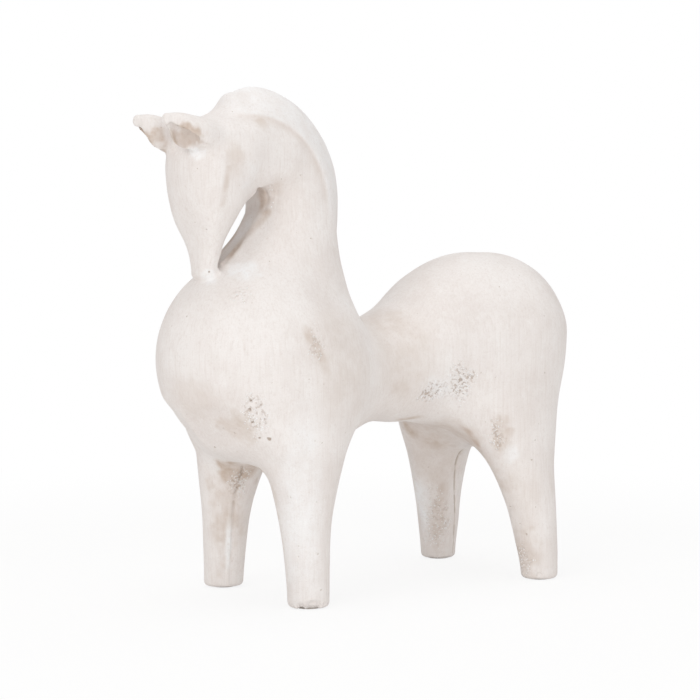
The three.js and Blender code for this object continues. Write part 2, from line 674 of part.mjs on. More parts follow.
/** A felt pad's disc, or the recess for it with the given clearance all round. */
function padDisc(leg, clearance) {
  const foot = leg.middle(0);
  const low = clearance ? -1 : 0;
  const high = PAD_THICKNESS + clearance;
  const disc = new THREE.CylinderGeometry(
    PAD_DIAMETER / 2 + clearance, PAD_DIAMETER / 2 + clearance, high - low, PAD_SIDES,
  );
  return solid(disc.rotateX(Math.PI / 2).translate(foot.x, foot.across, (low + high) / 2));
}

// Armature and the channels that it lies in
const frontHoop = hoopCurve(frontLegs);
const rearHoop = hoopCurve(rearLegs);
const bars = [
  { name: 'spine_bar', curve: spineCurve, diameter: SPINE_BAR, steps: 1 },
  { name: 'neck_bar', curve: neckCurve(), diameter: NECK_BAR, steps: 15 },
  { name: 'front_leg_hoop', curve: frontHoop.curve, diameter: LEG_BAR, steps: 14 },
  { name: 'rear_leg_hoop', curve: rearHoop.curve, diameter: LEG_BAR, steps: 14 },
];
const ties = [
  { name: 'front_tie_wire', ...crossingTie(frontHoop.crown) },
  { name: 'rear_tie_wire', ...crossingTie(rearHoop.crown) },
  { name: 'neck_tie_wire', ...footTie() },
];
const channels = bars.map(({ curve, diameter, steps }) => rod(curve, diameter + 2 * FIT_GAP, BAR_SIDES, steps));
const cutAll = (form, cutters) => cutters.reduce((left, cutter) => left.subtract(cutter), form);

// Castings
const slot = throatSlot();
const hollowGrid = evenGrid(
  [-96, CHEST_Y - CHEST_REACH - 1, 90],
  [96, RUMP_Y + RUMP_REACH + 3.5, POLL.z + 32],
  CORE_CELL,
);
const hollow = skin(hollowField, hollowGrid);
const foam = skin(hollowField, hollowGrid, FIT_GAP);
const bodyBlank = skin(bodyField, bodyGrid(), -FACET_ALLOWANCE);
const headGrid = evenGrid(
  [-11 * HEAD_CELL[0], POLL.y - 88, SLOT_TIP.z - 24],
  [11 * HEAD_CELL[0], POLL.y + 28, POLL.z + 99],
  HEAD_CELL,
);
const headBlank = skin(horseField, headGrid, -FACET_ALLOWANCE);
const halfJoint = MORTAR_THICKNESS / 2;
const body = cutAll(bodyBlank, [
  headSide(-halfJoint - FIT_GAP, -FIT_GAP / 2),
  slot,
  hollow,
  ...channels,
  ...ties.map(tiePocket),
  ...legs.map((leg) => padDisc(leg, FIT_GAP)),
]);
const earGrid = evenGrid(
  [-12 * HOLLOW_CELL[0], EAR_TIP_Y - 9.5, POLL.z + 14],
  [12 * HOLLOW_CELL[0], EAR_TIP_Y + 35.3, POLL.z + 62],
  HOLLOW_CELL,
);
const earCuts = earHollows.map((ear) => skin((x, y, z) => ear.distance(x, y, z), earGrid));
const headCasting = cutAll(headBlank.intersect(headSide(halfJoint + FIT_GAP, FIT_GAP / 2)), [
  slot,
  channels[1],
  ...earCuts,
]);
const mortarBed = cutAll(
  headBlank.intersect(headSide(-halfJoint, 0)),
  [headSide(halfJoint, -CUT_REACH), slot, channels[1]],
);

/** The left or right share of a form, clear of the middle and of the floor. */
function sideOf(form, side) {
  const near = FIT_GAP / 2;
  const low = side > 0 ? near : -CUT_REACH;
  const high = low + CUT_REACH - near;
  return form.intersect(block([low, -CUT_REACH, PAD_PROUD], [high, CUT_REACH, CUT_REACH]));
}

const core = cutAll(foam, [...channels, ...ties.map(tiePocket)]);
const group = new THREE.Group();
group.name = 'cement_horse';

/** Adds a piece to the horse under its own name. */
function addPiece(name, form, finish) {
  const shape = form.getMesh();
  const geometry = new THREE.BufferGeometry();
  geometry.setAttribute('position', new THREE.Float32BufferAttribute(shape.vertProperties, 3));
  geometry.setIndex(new THREE.Uint32BufferAttribute(shape.triVerts, 1));
  geometry.computeVertexNormals();
  const piece = new THREE.Mesh(geometry, new THREE.MeshStandardMaterial(finish));
  piece.name = name;
  group.add(piece);
}

addPiece('left_body_half', sideOf(body, 1), CEMENT);
addPiece('right_body_half', sideOf(body, -1), CEMENT);
addPiece('head_casting', headCasting, CEMENT);
addPiece('neck_mortar_bed', mortarBed, MORTAR);
addPiece('left_foam_core', sideOf(core, 1), FOAM);
addPiece('right_foam_core', sideOf(core, -1), FOAM);
bars.forEach(({ name, curve, diameter, steps }) => addPiece(name, rod(curve, diameter, BAR_SIDES, steps), STEEL));
ties.forEach(({ name, curve, steps }) => addPiece(name, rod(curve, TIE_WIRE, WIRE_SIDES, steps), WIRE));
['front_left', 'front_right', 'rear_left', 'rear_right'].forEach((place, i) => {
  addPiece(`${place}_foot_pad`, padDisc(legs[i], 0), FELT);
});

export default group;
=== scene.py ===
"""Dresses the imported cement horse: its cast skin, what lies inside it, and a plain studio.

Sizes are millimetres until a mesh is written, which is in metres. The horse faces -Y, its left side
is +X, up is +Z and the floor is z = 0.
"""

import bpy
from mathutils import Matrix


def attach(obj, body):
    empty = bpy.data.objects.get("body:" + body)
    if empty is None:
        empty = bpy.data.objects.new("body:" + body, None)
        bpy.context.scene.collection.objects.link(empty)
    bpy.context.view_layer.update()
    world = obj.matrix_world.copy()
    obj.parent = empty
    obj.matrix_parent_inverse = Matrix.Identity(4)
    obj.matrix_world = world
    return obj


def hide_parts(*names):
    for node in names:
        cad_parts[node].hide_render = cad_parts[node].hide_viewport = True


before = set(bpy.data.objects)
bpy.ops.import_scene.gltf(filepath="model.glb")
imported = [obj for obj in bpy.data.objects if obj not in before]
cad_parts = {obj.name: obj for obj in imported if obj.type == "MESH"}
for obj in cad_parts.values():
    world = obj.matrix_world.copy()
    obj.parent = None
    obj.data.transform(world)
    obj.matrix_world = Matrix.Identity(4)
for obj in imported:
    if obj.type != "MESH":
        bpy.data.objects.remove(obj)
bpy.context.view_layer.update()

import logging
import math
from dataclasses import dataclass, field, replace
from enum import Enum
from typing import Any, Callable

import bmesh
import bpy
import numpy as np
from mathutils import Vector

Array = np.ndarray
Row = tuple[float, ...]
Form = Callable[[Array], Array]

METRES = 0.001
ROOT = "root"
LOG = logging.getLogger("cement_horse")


class Lay(Enum):
    """Ways of laying a form's sections."""

    ALONG_BACK = "along_back"
    ALONG_HEIGHT = "along_height"
    ROUND_POLL = "round_poll"


class Carve(Enum):
    """Ways of working one solid with another."""

    AWAY = "DIFFERENCE"
    SHARED = "INTERSECT"
    JOINED = "UNION"


# Forms


def ease(value: Array, low: float, high: float) -> Array:
    """Rise from 0 to 1 between two limits, level at both.

    Args:
        value: Where on the rise.
        low: Where it starts.
        high: Where it ends.

    Returns:
        The height of the rise.
    """
    t = np.clip((value - low) / (high - low), 0.0, 1.0)
    return t * t * (3.0 - 2.0 * t)


def blend(a: Array, b: Array, spread: float | Array) -> Array:
    """Union of two distances with a soft fillet.

    Args:
        a: Distances to the first form.
        b: Distances to the second form.
        spread: How wide the fillet spreads.

    Returns:
        Distances to the joined form.
    """
    near = np.maximum(spread - np.abs(a - b), 0.0) / spread
    return np.minimum(a, b) - near * near * spread / 4.0


def cut(a: Array, b: Array, spread: float | Array) -> Array:
    """Distances to the first form with the second taken away and the rim rounded over."""
    return -blend(-a, b, spread)


class Profile:
    """Smooth curve through rows of values at rising stations, level at both ends."""

    def __init__(self, rows: tuple[Row, ...]) -> None:
        """Keep the rows and work out the slope at each of them.

        Args:
            rows: Station, then the values there, in rising order.
        """
        table = np.array(rows, dtype=float)
        self.stations = table[:, 0]
        self.values = table[:, 1:]
        gaps = np.diff(self.stations)[:, None]
        chords = np.diff(self.values, axis=0) / gaps
        self.slopes = np.zeros_like(self.values)
        weighted = chords[:-1] * gaps[1:] + chords[1:] * gaps[:-1]
        self.slopes[1:-1] = weighted / (gaps[1:] + gaps[:-1])

    def at(self, station: Array) -> tuple[Array, Array, Array]:
        """Read the curve.

        Args:
            station: Places along the curve.

        Returns:
            Values, slopes, and how far each place lies past an end.
        """
        inside = np.clip(station, self.stations[0], self.stations[-1])
        row = np.searchsorted(self.stations, inside, side="right") - 1
        row = np.clip(row, 0, len(self.stations) - 2)
        span = (self.stations[row + 1] - self.stations[row])[:, None]
        t = (inside - self.stations[row])[:, None] / span
        start = self.values[row]
        rise = self.values[row + 1] - start
        leave = self.slopes[row] * span
        arrive = self.slopes[row + 1] * span
        square = 3.0 * rise - 2.0 * leave - arrive
        cube = leave + arrive - 2.0 * rise
        value = start + t * (leave + t * (square + t * cube))
        slope = (leave + t * (2.0 * square + 3.0 * t * cube)) / span
        return value.T, slope.T, station - inside


POLL_Y = -104.0
POLL_Z = 298.0
TURN_START = -145.0


@dataclass
class Loft:
    """A form lofted through oval sections and rounded off past its end sections.

    A section is its station, middle x, low side, high side and half width.
    """

    sections: tuple[Row, ...]
    lay: Lay
    caps: tuple[float, float]
    power: float = 2.0

    def __post_init__(self) -> None:
        """Run a smooth curve through the sections."""
        self.profile = Profile(self.sections)

    def placed(self, points: Array) -> tuple[Array, Array, Array | float]:
        """Find where points fall along the form.

        Args:
            points: Points in the horse's frame.

        Returns:
            Station, place across the section, and the length of one unit of station.
        """
        y, z = points[:, 1], points[:, 2]
        if self.lay is Lay.ALONG_BACK:
            return y, z, 1.0
        if self.lay is Lay.ALONG_HEIGHT:
            return z, y, 1.0
        radius = np.hypot(y - POLL_Y, z - POLL_Z) + 1e-6
        angle = np.degrees(np.arctan2(z - POLL_Z, y - POLL_Y))
        station = np.where(angle < TURN_START, angle + 360.0, angle)
        return station, radius, math.radians(1.0) * radius

    def middle(self, station: float) -> tuple[float, float]:
        """Middle of the section at a station: x, then the place across."""
        value, _, _ = self.profile.at(np.array([station]))
        return float(value[0, 0]), float(value[1, 0] + value[2, 0]) / 2.0

    def distance(self, points: Array) -> Array:
        """Measure from points to the form's surface.

        Args:
            points: Points in the horse's frame.

        Returns:
            Distances, below zero inside.
        """
        station, across, stretch = self.placed(points)
        (middle_x, low, high, half), slope, over = self.profile.at(station)
        reach = (high - low) / 2.0
        u = (points[:, 0] - middle_x) / half
        v = (across - (low + high) / 2.0) / reach
        cap = np.where(over < 0.0, self.caps[0], self.caps[1])
        past = over * stretch / cap
        flat_u, flat_v = np.abs(u), np.abs(v)
        if self.power == 2.0:
            oval = np.hypot(u, v) + 1e-9
        else:
            oval = (flat_u**self.power + flat_v**self.power) ** (1.0 / self.power) + 1e-9
        size = np.hypot(oval, past) + 1e-9
        turn_u = (flat_u / oval) ** (self.power - 1.0) * np.sign(u)
        turn_v = (flat_v / oval) ** (self.power - 1.0) * np.sign(v)
        share = oval / size
        shift_u = turn_u * (slope[0] + u * slope[3]) / half
        shift_v = turn_v * ((slope[1] + slope[2]) / 2.0 + v * (slope[2] - slope[1]) / 2.0) / reach
        inside = np.where(over == 0.0, share * (shift_u + shift_v), 0.0)
        steep = (
            (turn_u * share / half) ** 2
            + (turn_v * share / reach) ** 2
            + (past / size / cap - inside / stretch) ** 2
        )
        return (size - 1.0) / np.sqrt(steep + 1e-12)


@dataclass
class TrunkForm:
    """Torso and four legs."""

    chest_half_width: float = 73.0
    waist_half_width: float = 47.0
    rump_half_width: float = 69.5
    front_stance: float = 56.0
    rear_stance: float = 63.0
    front_foot_y: float = -87.0
    rear_foot_y: float = 131.0
    leg_join: float = 22.0
    web_join: float = 12.0

    def __post_init__(self) -> None:
        """Lay out the torso and the legs."""
        chest, waist, rump = self.chest_half_width, self.waist_half_width, self.rump_half_width
        torso_sections = (
            (-93.0, 0.0, 100.0, 256.0, chest),
            (-52.0, 0.0, 104.0, 236.0, chest * 0.9),
            (1.0, 0.0, 124.5, 206.0, waist),
            (29.0, 0.0, 126.0, 215.5, waist * 1.02),
            (63.0, 0.0, 127.5, 240.5, rump * 0.81),
            (95.0, 0.0, 128.0, 253.4, rump * 0.92),
            (127.0, 0.0, 131.0, 254.6, rump),
        )
        self.torso = Loft(torso_sections, Lay.ALONG_BACK, (76.0, 59.3))
        web_sections = (
            (30.0, 0.0, 127.5, 175.0, 32.0),
            (63.0, 0.0, 120.5, 175.0, 38.0),
            (88.0, 0.0, 113.0, 170.0, 42.0),
            (106.0, 0.0, 102.0, 165.0, 42.0),
            (124.0, 0.0, 98.0, 165.0, 40.0),
        )
        self.hind_web = Loft(web_sections, Lay.ALONG_BACK, (20.0, 24.0), 3.0)
        front_sections = (
            (0.0, 0.0, -15.0, 16.2, 15.6),
            (30.0, 1.5, -16.0, 17.2, 16.9),
            (60.0, 4.0, -18.5, 20.0, 19.5),
            (90.0, 7.5, -23.0, 28.0, 25.3),
            (120.0, 13.5, -29.0, 40.0, 32.0),
            (160.0, 19.0, -36.0, 50.0, 34.0),
            (190.0, 26.0, -36.0, 50.0, 34.0),
        )
        rear_sections = (
            (0.0, 0.0, -14.5, 15.0, 14.3),
            (30.0, 2.0, -18.7, 16.0, 16.3),
            (60.0, 5.5, -25.5, 16.5, 19.0),
            (90.0, 11.5, -36.8, 19.0, 23.2),
            (120.0, 19.0, -52.0, 27.0, 29.0),
            (160.0, 25.0, -58.0, 35.0, 31.0),
            (190.0, 31.0, -58.0, 35.0, 31.0),
        )
        front = (front_sections, self.front_stance, self.front_foot_y)
        rear = (rear_sections, self.rear_stance, self.rear_foot_y)
        self.legs = [self.leg(*pair, side) for pair in (front, rear) for side in (1.0, -1.0)]

    @staticmethod
    def leg(sections: tuple[Row, ...], stance: float, foot_y: float, side: float) -> Loft:
        """Set a leg out from its foot.

        Args:
            sections: Height, lean inwards, front and back from the foot's middle, half width.
            stance: How far the foot stands from the horse's middle.
            foot_y: Where the foot stands along the horse.
            side: 1 for the left leg and -1 for the right one.

        Returns:
            The leg's loft, which runs on below the floor.
        """
        rows = tuple(
            (height, side * (stance - lean), foot_y + front, foot_y + back, half)
            for height, lean, front, back, half in sections
        )
        return Loft(rows, Lay.ALONG_HEIGHT, (200.0, 20.0))

    def distance(self, points: Array) -> Array:
        """Measure from points to the trunk's surface.

        Args:
            points: Points in the horse's frame.

        Returns:
            Distances, below zero inside.
        """
        joined = blend(self.torso.distance(points), self.hind_web.distance(points), self.web_join)
        for leg in self.legs:
            joined = blend(joined, leg.distance(points), self.leg_join)
        return joined


@dataclass
class NeckForm:
    """Neck column that fades into an arch, with a mane roll along it."""

    half_width: float = 32.0
    mane_join: float = 12.0
    fade: tuple[float, float] = (284.0, 306.0)

    def __post_init__(self) -> None:
        """Lay out the column, the arch and the mane."""
        wide = self.half_width
        column_sections = (
            (178.0, 0.0, -139.0, -15.0, wide * 1.97),
            (208.0, 0.0, -137.0, -16.0, wide * 1.81),
            (232.0, 0.0, -130.0, -22.0, wide * 1.56),
            (250.0, 0.0, -120.0, -26.0, wide * 1.34),
            (265.0, 0.0, -108.0, -28.0, wide * 1.19),
            (280.0, 0.0, -98.0, -29.0, wide * 1.08),
            (298.0, 0.0, -95.0, -30.0, wide * 1.02),
            (315.0, 0.0, -95.0, -30.0, wide),
        )
        self.column = Loft(column_sections, Lay.ALONG_HEIGHT, (30.0, 14.0), 2.1)
        arch_sections = (
            (-20.0, 0.0, 9.0, 74.0, wide * 1.03),
            (30.0, 0.0, 9.0, 72.0, wide * 0.98),
            (60.0, 0.0, 9.0, 69.0, wide * 0.97),
            (88.0, 0.0, 9.0, 66.0, wide * 0.97),
            (112.0, 0.0, 10.0, 62.0, wide * 0.97),
        )
        self.arch = Loft(arch_sections, Lay.ROUND_POLL, (14.0, 16.0), 2.1)
        mane_sections = (
            (-34.0, 0.0, 68.0, 87.0, 7.0),
            (0.0, 0.0, 58.0, 81.5, 11.0),
            (35.0, 0.0, 50.0, 80.0, 14.0),
            (62.0, 0.0, 46.0, 81.0, 17.0),
            (86.0, 0.0, 44.0, 80.5, 17.0),
            (100.0, 0.0, 44.0, 76.5, 15.0),
        )
        self.mane = Loft(mane_sections, Lay.ROUND_POLL, (20.0, 8.0))

    def distance(self, points: Array) -> Array:
        """Measure from points to the neck's surface.

        Args:
            points: Points in the horse's frame.

        Returns:
            Distances, below zero inside.
        """
        risen = ease(points[:, 2], *self.fade)
        bare = (1.0 - risen) * self.column.distance(points) + risen * self.arch.distance(points)
        return blend(bare, self.mane.distance(points), self.mane_join)


@dataclass
class HeadForm:
    """Tucked head with its ears, the web at its throat and the slot through that web."""

    half_width: float = 34.0
    ear_spread: float = 20.0
    ear_join: float = 6.0
    ear_rim: float = 1.6
    slot_rim: tuple[float, float] = (1.2, 5.0)
    rim_change: tuple[float, float] = (0.25, 0.85)

    def __post_init__(self) -> None:
        """Lay out the head, the throat web, the slot, the ears and their hollows."""
        wide = self.half_width
        head_sections = (
            (243.0, 0.0, -143.5, -133.5, wide * 0.35),
            (254.0, 0.0, -145.5, -132.5, wide * 0.44),
            (265.0, 0.0, -149.0, -130.0, wide * 0.6),
            (279.0, 0.0, -155.0, -123.5, wide * 0.81),
            (295.0, 0.0, -160.0, -112.0, wide * 0.94),
            (309.0, 0.0, -162.5, -105.0, wide * 0.985),
            (326.0, 0.0, -162.5, -101.0, wide),
            (340.0, 0.0, -157.0, -97.0, wide * 0.94),
        )
        self.skull = Loft(head_sections, Lay.ALONG_HEIGHT, (6.0, 14.5), 2.5)
        throat_sections = (
            (242.0, 0.0, -146.0, -108.0, 10.0),
            (256.0, 0.0, -146.0, -100.0, 12.0),
            (270.0, 0.0, -146.0, -88.0, 12.0),
            (282.0, 0.0, -146.0, -80.0, 12.0),
            (294.0, 0.0, -146.0, -72.0, 13.0),
            (304.0, 0.0, -146.0, -68.0, 22.0),
            (314.0, 0.0, -146.0, -66.0, 30.0),
            (334.0, 0.0, -146.0, -66.0, 31.0),
        )
        self.throat = Loft(throat_sections, Lay.ALONG_HEIGHT, (5.0, 12.0), 4.0)
        through = 300.0
        slot_sections = (
            (249.0, 0.0, -135.0, -131.0, through),
            (256.0, 0.0, -133.0, -122.5, through),
            (264.5, 0.0, -130.5, -113.5, through),
            (271.0, 0.0, -126.0, -107.5, through),
            (281.0, 0.0, -119.0, -100.5, through),
            (293.0, 0.0, -111.5, -94.5, through),
            (301.0, 0.0, -106.0, -96.0, through),
        )
        self.slot = Loft(slot_sections, Lay.ALONG_HEIGHT, (3.0, 4.0))
        spread = self.ear_spread
        ear_sections = (
            (-182.5, spread - 0.5, 347.5, 357.0, 4.8),
            (-173.5, spread, 334.5, 357.5, 10.6),
            (-157.0, spread + 1.0, 330.5, 355.0, 13.0),
            (-135.0, spread - 2.0, 330.0, 352.5, 13.0),
        )
        hollow_sections = (
            (-180.0, spread + 1.5, 341.5, 351.0, 3.0),
            (-173.0, spread + 3.5, 330.5, 349.5, 7.6),
            (-165.0, spread + 4.5, 328.0, 344.0, 9.0),
        )
        self.ears = [self.ear(ear_sections, side, (3.6, 8.0)) for side in (1.0, -1.0)]
        self.ear_hollows = [self.ear(hollow_sections, side, (3.0, 4.0)) for side in (1.0, -1.0)]

    @staticmethod
    def ear(sections: tuple[Row, ...], side: float, caps: tuple[float, float]) -> Loft:
        """Loft of an ear or its hollow, on the left for side 1 and the right for -1."""
        rows = tuple((row[0], side * row[1], *row[2:]) for row in sections)
        return Loft(rows, Lay.ALONG_BACK, caps)

    def distance(self, points: Array) -> Array:
        """Measure from points to the head with its ears still solid.

        Args:
            points: Points in the horse's frame.

        Returns:
            Distances, below zero inside.
        """
        joined = self.skull.distance(points)
        for ear in self.ears:
            joined = blend(joined, ear.distance(points), self.ear_join)
        return joined

    def opened(self, filled: Array, points: Array) -> Array:
        """Cut the throat slot and hollow the ears.

        Args:
            filled: Distances to the horse before it is cut.
            points: The points that they belong to.

        Returns:
            Distances to the horse after it is cut, crisp at the jaw and soft at the neck.
        """
        (_, jaw, neck, _), _, _ = self.slot.profile.at(points[:, 2])
        crisp, soft = self.slot_rim
        backwards = ease((points[:, 1] - jaw) / (neck - jaw), *self.rim_change)
        opened = cut(filled, self.slot.distance(points), crisp + (soft - crisp) * backwards)
        for hollow in self.ear_hollows:
            opened = cut(opened, hollow.distance(points), self.ear_rim)
        return opened


@dataclass
class HorseForm:
    """The whole horse as one skin, and the hollow inside it."""

    trunk: TrunkForm = field(default_factory=TrunkForm)
    neck: NeckForm = field(default_factory=NeckForm)
    head: HeadForm = field(default_factory=HeadForm)
    neck_join: float = 10.0
    muzzle_join: float = 2.5
    muzzle_reach: tuple[float, float] = (-140.0, -120.0)
    throat_join: float = 7.0
    cheek_join: tuple[float, float] = (3.0, 16.0)
    cheek_rise: tuple[float, float] = (290.0, 315.0)
    shell_wall: float = 12.0
    sole: float = 0.25
    sole_edge: float = 4.5

    def whole(self, points: Array) -> Array:
        """Measure from points to the finished skin.

        Args:
            points: Points in the horse's frame.

        Returns:
            Distances, below zero inside.
        """
        low, high = self.cheek_rise
        risen = np.clip((points[:, 2] - low) / (high - low), 0.0, 1.0)
        cheek = self.cheek_join[0] + (self.cheek_join[1] - self.cheek_join[0]) * risen
        upper = blend(self.neck.distance(points), self.head.distance(points), cheek)
        filled = blend(upper, self.head.throat.distance(points), self.throat_join)
        backwards = ease(points[:, 1], *self.muzzle_reach)
        join = self.muzzle_join + (self.neck_join - self.muzzle_join) * backwards
        joined = blend(self.trunk.distance(points), filled, join)
        opened = self.head.opened(joined, points)
        return cut(opened, points[:, 2] - self.sole, self.sole_edge)

    def hollow(self, points: Array) -> Array:
        """Measure from points to the hollow of torso and neck.

        Args:
            points: Points in the horse's frame.

        Returns:
            Distances, below zero inside.
        """
        torso = self.trunk.torso.distance(points)
        column = self.neck.column.distance(points)
        return blend(torso, column, self.neck_join) + self.shell_wall


# Nets laid over forms


@dataclass
class Net:
    """A closed surface of four-cornered faces."""

    points: Array
    faces: Array


def crossing_points(level: Array, cells: Array) -> Array:
    """Find the middle of a surface in each cell that it crosses.

    Args:
        level: Distances at the grid's points.
        cells: Whole-numbered places of the crossed cells.

    Returns:
        Places in grid units, the mean of where the surface crosses each cell's edges.
    """
    total = np.zeros((len(cells), 3))
    count = np.zeros(len(cells))
    for axis in range(3):
        others = [other for other in range(3) if other != axis]
        for step in np.ndindex(2, 2):
            start = np.zeros(3, dtype=int)
            start[others] = step
            end = start.copy()
            end[axis] = 1
            before = level[tuple((cells + start).T)]
            after = level[tuple((cells + end).T)]
            crossed = (before < 0.0) != (after < 0.0)
            share = np.where(crossed, before / np.where(crossed, before - after, 1.0), 0.0)
            place = start + share[:, None] * (end - start)
            total[crossed] += place[crossed]
            count[crossed] += 1.0
    return cells + total / count[:, None]


def net_faces(inside: Array, number: Array) -> Array:
    """Join the cells' points round each grid edge that the surface crosses.

    Args:
        inside: Whether each grid point lies inside the form.
        number: The point's number in each crossed cell.

    Returns:
        Faces of four point numbers, facing out.
    """
    faces = []
    for axis in range(3):
        first, second = (axis + 1) % 3, (axis + 2) % 3
        ahead = [slice(1, size - 1) for size in inside.shape]
        ahead[axis] = slice(1, None)
        here = list(ahead)
        here[axis] = slice(0, -1)
        leaving = inside[tuple(here)]
        place = np.argwhere(leaving != inside[tuple(ahead)])
        outward = leaving[tuple(place.T)]
        place[:, [first, second]] += 1
        ring = []
        for back in ((1, 1), (0, 1), (0, 0), (1, 0)):
            cell = place.copy()
            cell[:, first] -= back[0]
            cell[:, second] -= back[1]
            ring.append(number[tuple(cell.T)])
        face = np.stack(ring, axis=1)
        face[~outward] = face[~outward, ::-1]
        faces.append(face)
    return np.concatenate(faces)


def half_net(form: Form, low: Row, high: Row, cell: float) -> Net:
    """Lay a net over the +X half of a form that is alike on both sides.

    Args:
        form: Distances to the form.
        low: Lowest corner of the box that holds it; the half starts at x = 0.
        high: Highest corner of that box.
        cell: Size of the net's cells.

    Returns:
        The half net, open along x = 0.
    """
    lines = [np.arange(-cell / 2.0, high[0] + cell, cell)]
    lines += [np.arange(low[axis], high[axis] + cell, cell) for axis in (1, 2)]
    grid = np.stack(np.meshgrid(*lines, indexing="ij"), axis=-1)
    level = form(grid.reshape(-1, 3)).reshape(grid.shape[:3])
    level[-1] = level[:, 0] = level[:, -1] = cell
    level[:, :, 0] = level[:, :, -1] = cell
    inside = level < 0.0
    corners = np.zeros([size - 1 for size in inside.shape], dtype=int)
    for step in np.ndindex(2, 2, 2):
        part = [slice(s, size - 1 + s) for s, size in zip(step, inside.shape)]
        corners += inside[tuple(part)]
    crossed = (corners > 0) & (corners < 8)
    cells = np.argwhere(crossed)
    number = np.full(crossed.shape, -1)
    number[crossed] = np.arange(len(cells))
    start = np.array([line[0] for line in lines])
    points = start + cell * crossing_points(level, cells)
    points[cells[:, 0] == 0, 0] = 0.0
    return Net(points, net_faces(inside, number))


def refined(net: Net) -> Net:
    """Split each face of a net into four.

    Args:
        net: The net.

    Returns:
        The finer net.
    """
    rims = [net.faces[:, [corner, (corner + 1) % 4]] for corner in range(4)]
    edges = np.sort(np.concatenate(rims), axis=1)
    unique, place = np.unique(edges, axis=0, return_inverse=True)
    count = len(net.faces)
    mids = len(net.points) + place.reshape(4, count)
    middle = len(net.points) + len(unique) + np.arange(count)
    points = [net.points, net.points[unique].mean(axis=1), net.points[net.faces].mean(axis=1)]
    quarters = [
        np.stack([net.faces[:, c], mids[c], middle, mids[c - 1]], axis=1) for c in range(4)
    ]
    return Net(np.concatenate(points), np.concatenate(quarters))


def slope_of(form: Form, points: Array, depth: Array) -> Array:
    """Steepest way out of a form.

    Args:
        form: Distances to the form.
        points: Where to look.
        depth: The distances there.

    Returns:
        The slope of the distance along x, y and z.
    """
    nudge = 0.02
    ways = [(form(points + nudge * way) - depth) / nudge for way in np.eye(3)]
    return np.stack(ways, axis=1)


def drawn_on(form: Form, net: Net, reach: float, turns: int = 2) -> Net:
    """Draw a net's points onto a form.

    Args:
        form: Distances to the form.
        net: The net.
        reach: How far a point may move along an axis in a turn.
        turns: How many turns.

    Returns:
        The net with its points on the form.
    """
    points = net.points.copy()
    rim = points[:, 0] == 0.0
    for _ in range(turns):
        depth = form(points)
        slope = slope_of(form, points, depth)
        step = slope * (depth / ((slope**2).sum(axis=1) + 1e-6))[:, None]
        points -= np.clip(step, -reach, reach)
        points[rim, 0] = 0.0
    return Net(points, net.faces)


def both_sides(net: Net) -> Net:
    """Close a half net with its mirror image across x = 0.

    Args:
        net: The half net.

    Returns:
        The whole net: the half's points, then the images of those off x = 0.
    """
    free = net.points[:, 0] > 0.0
    number = np.arange(len(net.points))
    number[free] = len(net.points) + np.arange(free.sum())
    other = net.points[free] * (-1.0, 1.0, 1.0)
    faces = np.concatenate([net.faces, number[net.faces][:, ::-1]])
    return Net(np.concatenate([net.points, other]), faces)


# Relief of the hand-finished skin


def fixed_random(places: Array, seed: int) -> Array:
    """Random numbers that stay the same at the same places.

    Args:
        places: Whole-numbered places.
        seed: Which numbers.

    Returns:
        Numbers from 0 to 1.
    """
    mixed = places[:, 0] * 374761393 + places[:, 1] * 668265263 + places[:, 2] * 1440662683
    mixed = (mixed + seed * 144665 ^ (mixed >> 13)) * 1274126177
    return ((mixed ^ (mixed >> 16)) & 0xFFFF) / 65535.0


def soft_noise(points: Array, size: float, seed: int) -> Array:
    """Smooth random hills.

    Args:
        points: Where to read them.
        size: Width of a hill.
        seed: Which hills.

    Returns:
        Heights from -1 to 1.
    """
    scaled = points / size
    base = np.floor(scaled).astype(np.int64)
    t = scaled - base
    t = t * t * (3.0 - 2.0 * t)
    total = np.zeros(len(points))
    for step in np.ndindex(2, 2, 2):
        weight = np.where(step, t, 1.0 - t).prod(axis=1)
        total += weight * fixed_random(base + step, seed)
    return 2.0 * total - 1.0


@dataclass(frozen=True)
class Mark:
    """A mark on the skin: its middle, how far it reaches, how strong and how ragged it is."""

    middle: Row
    reach: Row
    strength: float = 1.0
    ragged: float = 1.0

    def weight(self, points: Array) -> Array:
        """Read the mark, which fades out raggedly at its reach.

        Args:
            points: Points on the skin.

        Returns:
            Its strength at the points.
        """
        away = (points - np.array(self.middle)) / np.array(self.reach)
        gap = np.linalg.norm(away, axis=1)
        solid, furthest = 0.3, 1.6
        near = gap < furthest
        close = points[near]
        lobes = 0.35 * soft_noise(close, 9.0, 13)
        nicks = 0.25 * soft_noise(close, 3.5, 29)
        gap[near] += self.ragged * (lobes + nicks)
        return self.strength * (1.0 - ease(gap, solid, 1.0))


@dataclass(frozen=True)
class Pit:
    """A small ragged hole in the skin: its middle, its radius and its depth."""

    middle: Row
    radius: float
    depth: float
    way: Row = (0.0, 0.0, 0.0)

    def share(self, points: Array) -> Array:
        """Find how far in the hole points lie, at any depth along its way in.

        Args:
            points: Points on the skin.

        Returns:
            0 at the rim and beyond, rising to 1.
        """
        share = np.zeros(len(points))
        away = points - np.array(self.middle)
        floor, furthest = 0.35, 1.7
        near = np.abs(away).max(axis=1) < furthest * self.radius + self.depth
        close = away[near]
        way = np.array(self.way)
        flat = np.linalg.norm(close - (close @ way)[:, None] * way, axis=1)
        ragged = 1.0 + 0.4 * soft_noise(points[near], 0.8 * self.radius, 23)
        share[near] = 1.0 - ease(flat * ragged, floor * self.radius, self.radius)
        return share


def one_side(points: Array) -> Array:
    """Points brought to the horse's left side."""
    return np.column_stack([np.abs(points[:, 0]), points[:, 1:]])


